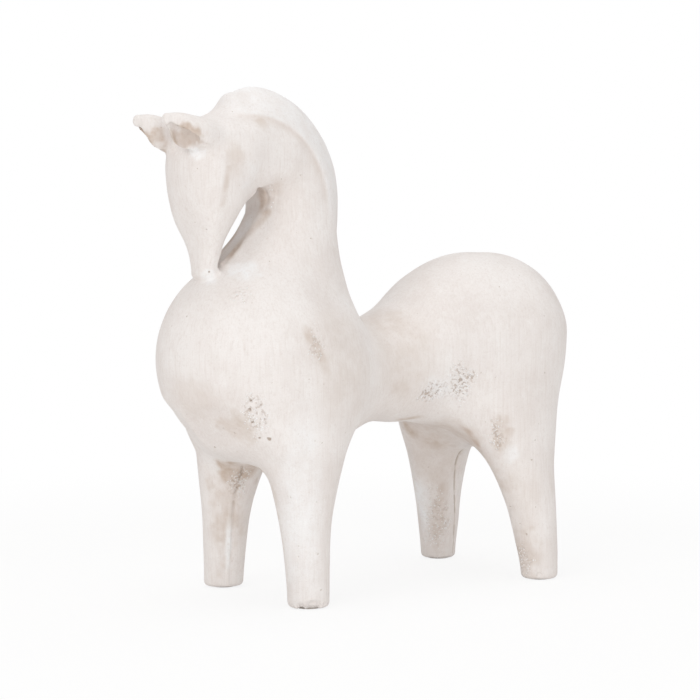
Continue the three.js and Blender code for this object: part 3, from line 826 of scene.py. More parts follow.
@dataclass(frozen=True)
class Trace:
    """A line on both sides of the skin, or the left one, that stands up or cuts in.

    A row is x, y, z and height, below zero where the line cuts in. A streak has its strength there.
    """

    rows: tuple[Row, ...]
    width: float
    scale: Row = (1.0, 1.0, 1.0)
    worn: float = 0.0
    both: bool = True

    def read(self, points: Array) -> tuple[Array, Array]:
        """Find the nearest place on the line.

        Args:
            points: Points on the skin.

        Returns:
            Distance to the line and the line's height there.
        """
        table = np.array(self.rows)
        scale = np.array(self.scale)
        sided = one_side(points) if self.both else points
        gap = np.full(len(points), 1e9)
        height = np.zeros(len(points))
        for first, last in zip(table, table[1:]):
            way = (last - first)[:3] * scale
            away = (sided - first[:3]) * scale
            t = np.clip(away @ way / (way @ way), 0.0, 1.0)
            found = np.linalg.norm(away - t[:, None] * way, axis=1)
            nearer = found < gap
            gap[nearer] = found[nearer]
            height[nearer] = (first[3] + t * (last[3] - first[3]))[nearer]
        return gap, height

    def height(self, points: Array) -> Array:
        """Read the line, which fades out at its width and where it is worn.

        Args:
            points: Points on the skin.

        Returns:
            Its height at the points.
        """
        gap, height = self.read(points)
        patches = soft_noise(points, 2.5 * self.width, 31)
        kept = 1.0 - self.worn * ease(patches, -0.2, 0.4)
        solid = 0.2 * self.width
        return height * (1.0 - ease(gap, solid, self.width)) * kept


@dataclass(frozen=True)
class ManeBand:
    """The raised band of the mane, from an edge given by angle and radius about the poll."""

    edge: tuple[Row, ...] = (
        (-34.0, 58.0),
        (-6.5, 54.2),
        (14.5, 52.5),
        (39.4, 52.8),
        (65.6, 55.7),
        (99.6, 60.2),
        (110.0, 62.0),
    )
    step: float = 1.1
    crest_step: float = 0.6
    soft: float = 1.6
    thinning: tuple[float, float] = (2.0, 20.0)
    nape_end: tuple[float, float] = (-28.0, 14.0)
    brow_end: tuple[float, float] = (100.0, 116.0)
    outer_end: tuple[float, float] = (86.0, 95.0)
    # Where the painted shade under the edge starts, is darkest and ends
    shade_span: tuple[float, float, float] = (-9.0, -1.5, 2.0)

    def placed(self, points: Array) -> tuple[Array, Array]:
        """Find where points lie on the band.

        Args:
            points: Points on the skin.

        Returns:
            How far past its edge they lie, and the share that its soft ends leave.
        """
        y, z = points[:, 1] - POLL_Y, points[:, 2] - POLL_Z
        radius = np.hypot(y, z)
        angle = np.degrees(np.arctan2(z, y))
        (edge,), _, _ = Profile(self.edge).at(angle)
        ends = ease(angle, *self.nape_end) * (1.0 - ease(angle, *self.brow_end))
        return radius - edge, ends * (1.0 - ease(radius, *self.outer_end))

    def share(self, points: Array) -> Array:
        """1 on the band and 0 off it, with a soft edge and soft ends."""
        past, ends = self.placed(points)
        return ease(past, -self.soft, self.soft) * ends

    def shade(self, points: Array) -> Array:
        """Read the painted shade under the band's edge.

        Args:
            points: Points on the skin.

        Returns:
            Its strength at the points.
        """
        past, ends = self.placed(points)
        start, darkest, end = self.shade_span
        return ease(past, start, darkest) * (1.0 - ease(past, darkest, end)) * ends

    def height(self, points: Array) -> Array:
        """Read the band's height, which thins towards the crest.

        Args:
            points: Points on the skin.

        Returns:
            Its height at the points.
        """
        past, _ = self.placed(points)
        thin = ease(past, *self.thinning)
        return self.share(points) * (self.step + (self.crest_step - self.step) * thin)


CHEST_PITS = (
    Pit((55.8, -136.3, 152.5), 1.5, 1.1),
    Pit((53.8, -135.8, 146.6), 1.3, 0.9),
    Pit((51.3, -132.4, 136.9), 1.6, 1.1),
    Pit((59.1, -130.8, 149.6), 1.0, 0.7),
    Pit((49.5, -125.2, 124.8), 1.4, 1.0),
    Pit((55.8, -120.0, 125.1), 1.9, 1.2),
    Pit((58.3, -125.9, 139.3), 0.9, 0.7),
    Pit((73.5, -92.2, 123.4), 1.0, 0.4),
)
LEG_PITS = (
    Pit((74.1, 114.3, 95.2), 1.3, 0.6),
    Pit((73.5, 117.8, 109.6), 0.9, 0.5),
    Pit((60.8, -106.1, 82.0), 1.0, 0.45),
    Pit((72.5, -91.5, 78.5), 0.9, 0.4),
    Pit((71.7, -88.3, 41.2), 1.2, 0.5),
    Pit((63.7, -101.2, 39.2), 1.0, 0.45),
    Pit((71.7, -86.6, 14.1), 1.1, 0.5),
    Pit((56.9, 106.0, 57.3), 0.9, 0.7),
    Pit((63.2, 109.8, 44.4), 0.8, 0.6),
)
SOLE_CHIPS = (
    Pit((65.0, -99.5, 1.5), 5.0, 2.0),
    Pit((69.1, -94.5, 1.0), 6.0, 2.6),
    Pit((72.0, -87.7, 1.0), 5.0, 2.2),
    Pit((71.3, -81.8, 3.0), 3.5, 0.9),
    Pit((74.0, 121.3, 4.7), 2.4, 0.8),
)
HEAD_PITS = (
    Pit((31.1, -74.0, 313.1), 0.8, 0.6),
    Pit((12.0, -141.9, 244.4), 1.3, 0.8),
)
FRONT_GROOVE = Trace(
    (
        (11.8, -95.2, 97.3, -0.6),
        (22.2, -90.9, 89.9, -1.0),
        (26.6, -91.6, 82.7, -1.1),
        (29.2, -92.6, 76.4, -1.0),
        (32.5, -92.4, 65.5, -0.6),
        (34.0, -91.2, 56.0, -0.45),
        (36.5, -90.8, 40.0, -0.3),
        (38.5, -90.0, 24.0, -0.15),
    ),
    2.2,
    (0.15, 1.0, 1.0),
    0.55,
)
FRONT_SEAM = Trace(
    (
        (32.5, -95.2, 66.0, 0.3),
        (35.2, -93.5, 49.8, 0.6),
        (38.0, -93.0, 34.1, 0.7),
        (40.6, -92.0, 2.9, 0.6),
    ),
    2.0,
    (0.15, 1.0, 1.0),
    0.4,
)
REAR_SEAM = Trace(
    (
        (22.7, 124.0, 103.0, -1.1),
        (26.6, 123.5, 93.4, -1.0),
        (31.8, 124.5, 80.6, -0.9),
        (37.1, 128.0, 64.2, -0.8),
        (42.6, 133.5, 41.7, -0.9),
        (47.0, 136.5, 15.8, -0.8),
        (49.0, 137.0, 3.0, -0.5),
    ),
    1.5,
    (0.15, 1.0, 1.0),
    0.35,
)
EAR_CREASE = Trace(
    ((31.3, -162.4, 336.3, -0.5), (30.9, -157.1, 334.3, -1.0), (31.0, -151.3, 333.0, -0.3)), 2.0
)
SLOT_RING = Trace(
    (
        (27.1, -99.6, 308.6, -0.5),
        (24.8, -91.0, 305.0, -0.8),
        (21.9, -89.0, 297.8, -0.8),
        (20.1, -90.4, 291.9, -0.5),
        (23.6, -87.4, 291.2, -0.3),
    ),
    2.4,
    worn=0.4,
)
SLOT_CREASE = Trace(
    (
        (22.7, -107.1, 302.8, -1.2),
        (16.0, -98.0, 302.0, -2.2),
        (15.7, -94.4, 296.3, -2.0),
        (12.6, -94.9, 289.9, -1.2),
    ),
    2.8,
    worn=0.2,
)
CHEST_SEAM = Trace(
    (
        (11.2, -160.8, 144.8, 0.1),
        (18.5, -155.3, 137.1, 0.35),
        (22.3, -137.2, 118.9, 0.4),
        (17.8, -124.7, 108.9, 0.3),
    ),
    2.4,
    worn=0.3,
)
SLOT_EDGE = Trace(
    (
        (16.3, -94.0, 286.8, -0.2),
        (12.5, -95.8, 281.7, -0.3),
        (9.4, -100.9, 274.4, -0.3),
        (7.3, -110.1, 265.7, -0.4),
        (8.7, -121.5, 256.4, -0.5),
        (11.7, -132.2, 247.9, -0.9),
    ),
    2.4,
    worn=0.4,
)
# Painted shade along the slot's near rim
SLOT_RIM_SHADE = Trace(tuple((*row[:3], 0.85) for row in SLOT_EDGE.rows), 4.5, worn=0.3)
SHOULDER_STREAK = Trace(
    (
        (70.1, -98.4, 203.0, 0.5),
        (72.9, -95.2, 195.2, 0.8),
        (74.8, -89.5, 187.2, 0.5),
        (75.8, -84.7, 174.1, 0.15),
    ),
    6.0,
    worn=0.7,
    both=False,
)
CHEEK_STREAK = Trace(
    ((33.5, -139.5, 318.0, 0.3), (32.0, -141.5, 305.0, 0.6), (30.0, -143.0, 293.0, 0.4)),
    3.5,
    worn=0.5,
    both=False,
)
# Brown staining and painted shade along the underside of the belly
BELLY_STAIN_AND_SHADE = Trace(
    (
        (19.7, 26.3, 129.4, 1.3),
        (32.0, 48.0, 124.0, 1.2),
        (38.0, 70.0, 119.0, 1.0),
        (42.0, 88.0, 108.0, 0.8),
    ),
    6.0,
    worn=0.4,
)
FACE_RIDGE = Trace(
    (
        (32.4, -145.4, 328.0, 0.2),
        (32.6, -146.5, 316.7, 0.7),
        (31.8, -146.9, 306.1, 0.7),
        (30.4, -147.7, 296.2, 0.6),
        (27.8, -148.6, 285.0, 0.1),
    ),
    7.0,
)


@dataclass(frozen=True)
class SkinMarks:
    """Where the skin is marked brown, rough, chalky, pitted or seamed, and where shade and
    highlights are painted on it.

    Side marks, brown ones and painted shade, and seams are alike on both sides. Other marks lie
    where they are given.
    """

    stains_and_shade: tuple[Mark, ...] = (
        # Chest
        Mark((41.0, -137.0, 131.0), (17.0, 16.0, 17.0), 0.6),
        Mark((18.0, -163.0, 152.0), (30.0, 26.0, 24.0), 0.25, 0.4),
        # Shoulder and waist
        Mark((72.0, -62.0, 180.0), (34.0, 46.0, 64.0), 0.3, 0.15),
        # Painted shade across the waist
        Mark((30.0, 10.0, 180.0), (52.0, 46.0, 56.0), 0.36, 0.15),
        Mark((17.0, 14.0, 206.0), (24.0, 22.0, 14.0), 0.15, 0.5),
        Mark((46.0, 11.0, 156.0), (20.0, 18.0, 18.0), 0.15, 0.6),
        # Left hind leg
        Mark((65.0, 115.0, 18.0), (16.0, 16.0, 30.0), 0.4),
        Mark((66.0, 108.0, 60.0), (22.0, 24.0, 50.0), 0.2, 0.4),
        Mark((57.0, 100.0, 74.0), (12.0, 12.0, 14.0), 0.12),
        Mark((64.0, 91.0, 111.0), (11.0, 10.0, 24.0), 0.65),
        # Crest; painted shade at the top of the slot and on its wall; mane and cheek
        Mark((10.0, -115.0, 371.0), (12.0, 12.0, 9.0), 0.3),
        Mark((11.0, -98.0, 296.0), (9.0, 9.0, 15.0), 1.4, 0.4),
        Mark((-8.0, -102.0, 280.0), (12.0, 16.0, 36.0), 0.12, 0.3),
        Mark((29.5, -108.0, 351.0), (9.0, 9.0, 7.0), 0.35),
        Mark((35.0, -134.0, 324.0), (12.0, 12.0, 16.0), 0.35, 0.6),
    )
    side_stains_and_shade: tuple[Mark, ...] = (
        # Inside the legs: brown staining and painted shade
        Mark((36.0, 106.0, 88.0), (26.0, 34.0, 50.0), 0.32, 0.7),
        Mark((45.0, 119.0, 36.0), (12.0, 8.0, 66.0), 0.42, 0.6),
        Mark((32.0, -99.0, 62.0), (20.0, 18.0, 66.0), 0.55),
        Mark((16.0, -92.0, 94.0), (26.0, 28.0, 18.0), 0.85),
        # Belly: brown staining and painted shade under it; painted shade in and around the ear
        # hollows and at the throat by the slot's top
        Mark((18.0, 76.0, 112.0), (40.0, 56.0, 24.0), 0.5, 0.4),
        Mark((22.0, -172.0, 339.0), (18.0, 18.0, 12.0), 1.5),
        Mark((25.0, -92.0, 300.0), (11.0, 10.0, 15.0), 0.35),
    )
    # Brown streaks, with painted shade along the slot's rim and under the belly
    streaks_and_shade: tuple[Trace, ...] = (SLOT_RIM_SHADE, SHOULDER_STREAK, CHEEK_STREAK, BELLY_STAIN_AND_SHADE)
    rough: tuple[Mark, ...] = (
        # Flank and thigh
        Mark((42.5, 38.3, 148.0), (12.0, 12.0, 12.0), 1.0),
        Mark((49.5, 61.0, 157.0), (13.0, 14.0, 19.0), 0.9),
        Mark((46.0, 49.0, 152.0), (12.0, 14.0, 12.0), 0.3),
        Mark((62.5, 87.0, 112.0), (8.0, 8.0, 20.0), 0.85),
        # Shoulder, chest and throat
        Mark((74.0, -92.0, 193.0), (7.0, 9.0, 18.0), 0.4),
        Mark((54.0, -132.0, 138.0), (11.0, 11.0, 26.0), 0.5),
        Mark((25.0, -93.0, 300.0), (12.0, 8.0, 15.0), 0.12),
        # Inside the right legs
        Mark((-26.0, -92.0, 86.0), (12.0, 9.0, 20.0), 0.9),
        Mark((-48.0, 116.0, 30.0), (13.0, 13.0, 40.0), 0.4),
        # Left hind foot and upper chest
        Mark((63.0, 115.0, 13.0), (11.0, 11.0, 16.0), 0.3),
        Mark((41.7, -134.0, 226.5), (10.0, 10.0, 12.0), 0.3),
    )
    chalk_and_highlight: tuple[Mark, ...] = (
        # Chest, left front leg, painted highlight on the slot's wall, muzzle and ear
        Mark((29.0, -121.5, 244.5), (18.0, 14.0, 10.0), 1.0),
        Mark((64.0, -99.0, 84.0), (26.0, 20.0, 110.0), 0.65, 0.2),
        Mark((0.0, -106.0, 272.0), (10.0, 14.0, 34.0), 0.8, 0.2),
        Mark((12.0, -143.7, 241.0), (9.0, 7.0, 6.0), 0.8),
        Mark((21.0, -160.0, 329.5), (10.0, 8.0, 7.0), 1.0),
        # Flank and thigh
        Mark((45.0, 46.0, 152.0), (16.0, 26.0, 18.0), 0.5),
        Mark((66.0, 97.0, 100.0), (9.0, 9.0, 10.0), 0.7),
        # Inside the right legs: painted highlight along the front leg's seam ridge, and a chalky
        # patch on the hind leg
        Mark((-38.0, -93.5, 30.0), (5.0, 3.6, 46.0), 1.0, 0.3),
        Mark((-57.0, 109.0, 46.0), (11.0, 9.0, 56.0), 1.0, 0.6),
        # Cheek
        Mark((35.0, -122.0, 317.0), (15.0, 11.0, 17.0), 0.35),
    )
    pits: tuple[Pit, ...] = CHEST_PITS + LEG_PITS + HEAD_PITS
    chips: tuple[Pit, ...] = SOLE_CHIPS
    seams: tuple[Trace, ...] = (
        FRONT_GROOVE,
        FRONT_SEAM,
        REAR_SEAM,
        EAR_CREASE,
        SLOT_RING,
        SLOT_CREASE,
        SLOT_EDGE,
        CHEST_SEAM,
    )
    mane: ManeBand = ManeBand()
    rough_depth: float = 0.7
    rough_edge: float = 0.15
    grit: float = 1.6
    broad_seam: float = 2.0
    scatter: tuple[float, float] = (0.35, 0.9)
    scatter_depth: float = 0.7
    seat_reach: float = 4.0
    # Painted shade under the mane band's edge, and painted highlight on the band
    mane_edge_shade: float = 0.3
    mane_highlight: float = 0.6
    # Painted shade in the grooves, as a share of their depth
    groove_shade: float = 0.8

    def seated(self, points: Array, ways: Array, free: Array, count: int, seed: int) -> "SkinMarks":
        """Seat the pits on a skin and scatter more of them over it.

        Args:
            points: The skin's points.
            ways: The ways out of the skin there.
            free: Which of the points may take a scattered pit.
            count: How many pits to scatter.
            seed: Which places to scatter them to.

        Returns:
            The marks with their pits on the skin.
        """

        def seat(pit: Pit) -> Pit:
            """Move a pit to the nearest point of the skin, if that is close by.

            Args:
                pit: The pit.

            Returns:
                The pit in its place.
            """
            away = np.linalg.norm(points - np.array(pit.middle), axis=1)
            place = away.argmin()
            if away[place] > self.seat_reach:
                return pit
            return replace(pit, middle=tuple(points[place]), way=tuple(ways[place]))

        draw = np.random.default_rng(seed)
        low, high = self.scatter
        pits = [seat(pit) for pit in self.pits]
        for place in draw.choice(np.flatnonzero(free), count, replace=False):
            radius = low + (high - low) * draw.random() ** 2
            depth = self.scatter_depth * radius
            pits.append(Pit(tuple(points[place]), radius, depth, tuple(ways[place])))
        return replace(self, pits=tuple(pits), chips=tuple(seat(chip) for chip in self.chips))

    @staticmethod
    def total(marks: tuple[Mark, ...], points: Array) -> Array:
        """Summed strength of marks at points."""
        return sum(mark.weight(points) for mark in marks)

    @staticmethod
    def pitted(pits: tuple[Pit, ...], points: Array) -> Array:
        """Read the deepest of some pits.

        Args:
            pits: The pits.
            points: Points on the skin.

        Returns:
            Depth at the points.
        """
        depth = np.zeros(len(points))
        for pit in pits:
            depth = np.maximum(depth, pit.depth * pit.share(points))
        return depth

    def seamed(self, points: Array) -> Array:
        """Height of the seams at points."""
        return sum(seam.height(points) for seam in self.seams)

    def fine(self, points: Array, spare: float, narrow: bool) -> Array:
        """Find the places that need a finer net.

        Args:
            points: Points on the skin.
            spare: How far round a mark the net is finer.
            narrow: Whether to leave out rough patches and broad seams.

        Returns:
            Whether each point lies in or near a small mark.
        """
        found = np.zeros(len(points), dtype=bool)
        if not narrow:
            found |= self.total(self.rough, points) > self.rough_edge
        for pit in self.pits + self.chips:
            away = np.linalg.norm(points - np.array(pit.middle), axis=1)
            found |= away < pit.radius + spare
        for seam in self.seams:
            if seam.width <= self.broad_seam or not narrow:
                found |= seam.read(points)[0] < seam.width + spare
        return found

    def height(self, points: Array) -> Array:
        """Read the relief of the small marks.

        Args:
            points: Points on the skin.

        Returns:
            Height at the points.
        """
        crumbled = np.clip(self.total(self.rough, points), 0.0, 1.0)
        broken = 0.5 + 0.5 * soft_noise(points, self.grit, 41)
        sunk = self.pitted(self.pits + self.chips, points) + self.rough_depth * crumbled * broken
        return self.seamed(points) - sunk

    def layers(self, points: Array) -> dict[str, Array]:
        """Work out every kind of mark.

        Args:
            points: Points on the skin.

        Returns:
            For each kind, its strength at the points.
        """
        grooves = np.maximum(-self.seamed(points), 0.0)
        streaked_and_shaded = sum(streak.height(points) for streak in self.streaks_and_shade)
        stained_and_shaded = self.total(self.stains_and_shade, points) + self.total(self.side_stains_and_shade, one_side(points))
        kinds = {
            # Brown staining, with painted shade in hollows, under the belly, across the waist,
            # along the slot and under the mane's edge
            "stain_and_shade": stained_and_shaded + streaked_and_shaded + self.mane_edge_shade * self.mane.shade(points),
            "rough": self.total(self.rough, points),
            # Chalky patches, with painted highlights on the mane band, the slot's wall and a leg
            # seam
            "chalk_and_highlight": self.total(self.chalk_and_highlight, points) + self.mane_highlight * self.mane.share(points),
            # Pits and grooves darkened by their depth: painted shade
            "pit": np.maximum(self.pitted(self.pits, points), self.groove_shade * grooves),
        }
        return {kind: np.clip(strength, 0.0, 1.0) for kind, strength in kinds.items()}


@dataclass(frozen=True)
class Relief:
    """Hand-finished unevenness of the skin."""

    sink: float = 0.35
    wave: float = 0.2
    wave_size: float = 38.0
    ripple: float = 0.12
    ripple_size: float = 11.0
    mane: ManeBand = ManeBand()
    ridge: Trace = FACE_RIDGE
    swells: tuple[Mark, ...] = (
        # Lower chest and the tops of the front legs
        Mark((25.0, -148.0, 130.0), (40.0, 28.0, 25.0), -2.8, 0.0),
        Mark((60.8, -109.8, 122.0), (22.0, 22.0, 20.0), 2.4, 0.0),
    )

    def height(self, points: Array) -> Array:
        """Read the unevenness of the skin.

        Args:
            points: Points on the skin.

        Returns:
            Height over the form at the points.
        """
        waves = self.wave * soft_noise(points, self.wave_size, 3)
        ripples = self.ripple * soft_noise(points, self.ripple_size, 5)
        raised = self.mane.height(points) + self.ridge.height(points)
        swelled = SkinMarks.total(self.swells, one_side(points))
        return waves + ripples + raised + swelled - self.sink


# Meshes


def mesh_from(points: Array, faces: Any, name: str) -> bpy.types.Mesh:
    """Write a mesh, which is in metres.

    Args:
        points: Points in millimetres.
        faces: Point numbers of each face.
        name: Its name.

    Returns:
        The mesh.
    """
    mesh = bpy.data.meshes.new(name)
    mesh.from_pydata(np.asarray(points) * METRES, [], faces)
    mesh.update()
    return mesh


def shown(mesh: bpy.types.Mesh, name: str) -> bpy.types.Object:
    """Put a mesh in the scene as an object at the origin.

    Args:
        mesh: The mesh.
        name: The object's name.

    Returns:
        The object.
    """
    piece = bpy.data.objects.new(name, mesh)
    bpy.context.scene.collection.objects.link(piece)
    return piece


def taken(piece: bpy.types.Object, name: str) -> bpy.types.Mesh:
    """Take a piece's mesh as its modifiers leave it.

    Args:
        piece: The piece.
        name: The new mesh's name.

    Returns:
        A plain mesh.
    """
    bpy.context.view_layer.update()
    evaluated = piece.evaluated_get(bpy.context.evaluated_depsgraph_get())
    mesh = bpy.data.meshes.new_from_object(evaluated)
    mesh.name = name
    return mesh


def carved(mesh: bpy.types.Mesh, cutter: bpy.types.Mesh, way: Carve) -> bpy.types.Mesh:
    """Work one solid with another.

    Args:
        mesh: The solid to work on.
        cutter: The other solid.
        way: What to do with them.

    Returns:
        A new mesh.
    """
    piece, tool = shown(mesh, "worked"), shown(cutter, "cutter")
    work = piece.modifiers.new("carve", "BOOLEAN")
    work.object = tool
    work.operation = way.value
    work.solver = "MANIFOLD"
    result = taken(piece, mesh.name)
    bpy.data.objects.remove(piece)
    bpy.data.objects.remove(tool)
    return result


def block(low: Row, high: Row) -> bpy.types.Mesh:
    """Make a box.

    Args:
        low: Its lowest corner.
        high: Its highest corner.

    Returns:
        A closed mesh.
    """
    ends = (low, high)
    steps = list(np.ndindex(2, 2, 2))
    corners = [[ends[side][axis] for axis, side in enumerate(step)] for step in steps]
    faces = [(0, 1, 3, 2), (4, 6, 7, 5), (0, 4, 5, 1), (2, 3, 7, 6), (0, 2, 6, 4), (1, 5, 7, 3)]
    return mesh_from(corners, faces, "block")


def across_horse(outline: list[tuple[float, float]]) -> bpy.types.Mesh:
    """Carry a side-view outline across the horse.

    Args:
        outline: y and z of its corners, anticlockwise seen from +X.

    Returns:
        A closed mesh.
    """
    reach = 200.0
    count = len(outline)
    points = [(x, y, z) for x in (-reach, reach) for y, z in outline]
    faces = [tuple(range(count - 1, -1, -1)), tuple(range(count, 2 * count))]
    for i in range(count):
        j = (i + 1) % count
        faces.append((i, j, count + j, count + i))
    return mesh_from(points, faces, "across")


def tube(path: Array, radius: float, sides: int = 16) -> bpy.types.Mesh:
    """Make a round bar.

    Args:
        path: Points along its middle.
        radius: Its radius.
        sides: How many sides it has.

    Returns:
        A closed mesh.
    """
    along = np.gradient(path, axis=0)
    along /= np.linalg.norm(along, axis=1)[:, None]
    too_short = 0.1
    side = np.cross(along[0], (1.0, 0.0, 0.0))
    if np.linalg.norm(side) < too_short:
        side = np.cross(along[0], (0.0, 0.0, 1.0))
    rings = []
    turn = np.linspace(0.0, 2.0 * math.pi, sides, endpoint=False)[:, None]
    for middle, way in zip(path, along):
        side = side - way * side.dot(way)
        side /= np.linalg.norm(side)
        up = np.cross(way, side)
        rings.append(middle + radius * (np.cos(turn) * side + np.sin(turn) * up))
    faces = [tuple(range(sides - 1, -1, -1))]
    for ring in range(len(path) - 1):
        for i in range(sides):
            j = (i + 1) % sides
            low, high = ring * sides, (ring + 1) * sides
            faces.append((low + i, low + j, high + j, high + i))
    last = (len(path) - 1) * sides
    faces.append(tuple(range(last, last + sides)))
    return mesh_from(np.concatenate(rings), faces, "tube")


def smooth_shaded(mesh: bpy.types.Mesh, crease: float) -> None:
    """Shade a mesh smooth, apart from edges sharper than a crease in degrees."""
    mesh.polygons.foreach_set("use_smooth", np.ones(len(mesh.polygons), dtype=bool))
    mesh.set_sharp_from_angle(angle=math.radians(crease))


def read_rows(items: Any, name: str) -> Array:
    """Read what has an x, y and z from a mesh.

    Args:
        items: The mesh's points or faces.
        name: What to read.

    Returns:
        A row for each.
    """
    flat = np.empty(len(items) * 3, dtype=np.float32)
    items.foreach_get(name, flat)
    return flat.reshape(-1, 3).astype(float)


def split_faces(mesh: bpy.types.Mesh, chosen: Array) -> None:
    """Split chosen faces of a mesh in four and fit their neighbours to them.

    Args:
        mesh: The mesh, which is changed.
        chosen: Whether to split each face.
    """
    work = bmesh.new()
    work.from_mesh(mesh)
    work.faces.ensure_lookup_table()
    found = {}
    for place in np.flatnonzero(chosen):
        found.update((edge.index, edge) for edge in work.faces[place].edges)
    edges = [found[number] for number in sorted(found)]
    bmesh.ops.subdivide_edges(work, edges=edges, cuts=1, use_grid_fill=True)
    work.to_mesh(mesh)
    work.free()


def press_marks(mesh: bpy.types.Mesh, marks: SkinMarks) -> None:
    """Split a skin finer where small marks lie and press them into it.

    Args:
        mesh: The skin, which is changed.
        marks: The marks.
    """
    for spare, narrow in ((2.0, False), (0.7, True)):
        middles = read_rows(mesh.polygons, "center") / METRES
        split_faces(mesh, marks.fine(middles, spare, narrow))
    points = read_rows(mesh.vertices, "co") / METRES
    ways = read_rows(mesh.vertices, "normal")
    moved = points + ways * marks.height(points)[:, None]
    mesh.vertices.foreach_set("co", (moved * METRES).astype(np.float32).ravel())
    mesh.update()


def write_layers(mesh: bpy.types.Mesh, marks: SkinMarks) -> None:
    """Write the strength of each kind of mark to a mesh's points.

    Args:
        mesh: The mesh, which is changed.
        marks: The marks.
    """
    points = read_rows(mesh.vertices, "co") / METRES
    for kind, strength in marks.layers(points).items():
        layer = mesh.attributes.new(kind, "FLOAT", "POINT")
        layer.data.foreach_set("value", strength.astype(np.float32))


# Shader maths


class Wire:
    """A shader value that takes part in sums."""

    def __init__(self, tree: "ShaderTree", socket: bpy.types.NodeSocket) -> None:
        """Keep the tree and the socket."""
        self.tree = tree
        self.socket = socket

    def __add__(self, other: "Wire | float") -> "Wire":
        """Sum."""
        return self.tree.maths("ADD", self, other)

    __radd__ = __add__

    def __mul__(self, other: "Wire | float") -> "Wire":
        """Product."""
        return self.tree.maths("MULTIPLY", self, other)

    __rmul__ = __mul__

    def __sub__(self, other: "Wire | float") -> "Wire":
        """Difference."""
        return self.tree.maths("SUBTRACT", self, other)

    def __rsub__(self, other: "Wire | float") -> "Wire":
        """Difference the other way round."""
        return self.tree.maths("SUBTRACT", other, self)

    def between(self, low: float, high: float) -> "Wire":
        """Rise smoothly from 0 to 1.

        Args:
            low: The value where the rise starts.
            high: The value where it ends.

        Returns:
            The height of the rise.
        """
        settings = {"interpolation_type": "SMOOTHSTEP"}
        inputs = {"Value": self, "From Min": low, "From Max": high}
        return self.tree.add("ShaderNodeMapRange", settings, inputs)


def linear(red: int, green: int, blue: int) -> tuple[float, float, float, float]:
    """Turn a screen colour into a shader's.

    Args:
        red: Red, 0 to 255.
        green: Green, 0 to 255.
        blue: Blue, 0 to 255.

    Returns:
        Shares of red, green and blue, and full opacity.
    """
    shares = [value / 255.0 for value in (red, green, blue)]
    low = [s / 12.92 if s <= 0.04045 else ((s + 0.055) / 1.055) ** 2.4 for s in shares]
    return (*low, 1.0)


class ShaderTree:
    """Nodes of one material, of the world or of a geometry group."""

    def __init__(self, owner: Any) -> None:
        """Empty the owner's tree, or a group itself, and take it over.

        Args:
            owner: A material, the world or a geometry group.
        """
        if isinstance(owner, bpy.types.NodeTree):
            self.tree = owner
        else:
            owner.use_nodes = True
            self.tree = owner.node_tree
        self.tree.nodes.clear()

    def add(
        self,
        kind: str,
        settings: dict[str, Any] | None = None,
        inputs: dict[str | int, Any] | None = None,
        output: str | int = 0,
    ) -> Wire:
        """Add a node of any kind.

        Args:
            kind: The node's type.
            settings: Its properties, set before its sockets.
            inputs: Values or wires for its sockets, by name or number.
            output: Which of its outputs to hand back.

        Returns:
            The wire from that output.
        """
        node = self.tree.nodes.new(kind)
        for name, value in (settings or {}).items():
            setattr(node, name, value)
        for name, value in (inputs or {}).items():
            if isinstance(value, Wire):
                self.tree.links.new(value.socket, node.inputs[name])
            else:
                node.inputs[name].default_value = value
        return Wire(self, node.outputs[output] if len(node.outputs) else None)

    def maths(self, operation: str, a: Wire | float, b: Wire | float) -> Wire:
        """One step of a sum."""
        return self.add("ShaderNodeMath", {"operation": operation}, {0: a, 1: b})

    def mix(self, share: Wire | float, a: Any, b: Any) -> Wire:
        """Colour that goes from a to b as the share goes from 0 to 1."""
        return self.add("ShaderNodeMix", {"data_type": "RGBA"}, {0: share, 6: a, 7: b}, 2)

    def place(self, stretch: Row = (1.0, 1.0, 1.0), turn: Row = (0.0, 0.0, 0.0)) -> Wire:
        """Read object coordinates.

        Args:
            stretch: What each is multiplied by.
            turn: How far they are turned about each axis.

        Returns:
            The coordinates.
        """
        where = self.add("ShaderNodeTexCoord", output="Object")
        inputs = {"Vector": where, "Rotation": turn, "Scale": stretch}
        return self.add("ShaderNodeMapping", {}, inputs)

    def noise(self, where: Wire, scale: float, detail: float, rough: float = 0.55) -> Wire:
        """Read cloudy noise.

        Args:
            where: Where it is read.
            scale: How many clouds a metre holds.
            detail: How many finer layers it has.
            rough: How strong those are.

        Returns:
            Noise from 0 to 1.
        """
        settings = {"noise_dimensions": "3D"}
        inputs = {"Vector": where, "Scale": scale, "Detail": detail, "Roughness": rough}
        return self.add("ShaderNodeTexNoise", settings, inputs)

    def layer(self, name: str) -> Wire:
        """A layer written on the mesh's points."""
        return self.add("ShaderNodeAttribute", {"attribute_name": name}, {}, "Fac")

    def surface(self, shader: Wire, kind: str = "ShaderNodeOutputMaterial") -> None:
        """Close the tree with its output."""
        self.add(kind, {}, {"Surface": shader})

    def coat(
        self,
        colour: Wire,
        rough: Wire,
        height: Wire,
        bump: tuple[float, float],
        more: dict[str, Any] | None = None,
    ) -> None:
        """Close a material with a surface that a height makes uneven.

        Args:
            colour: Its colour.
            rough: Its roughness.
            height: The height.
            bump: How strongly that shows, and how far it stands up in metres.
            more: Other inputs of the surface.
        """
        strength, tall = bump
        relief = {"Height": height, "Strength": strength, "Distance": tall}
        normal = self.add("ShaderNodeBump", {}, relief)
        inputs = {"Base Color": colour, "Roughness": rough, "Normal": normal, **(more or {})}
        self.surface(self.add("ShaderNodeBsdfPrincipled", {}, inputs))


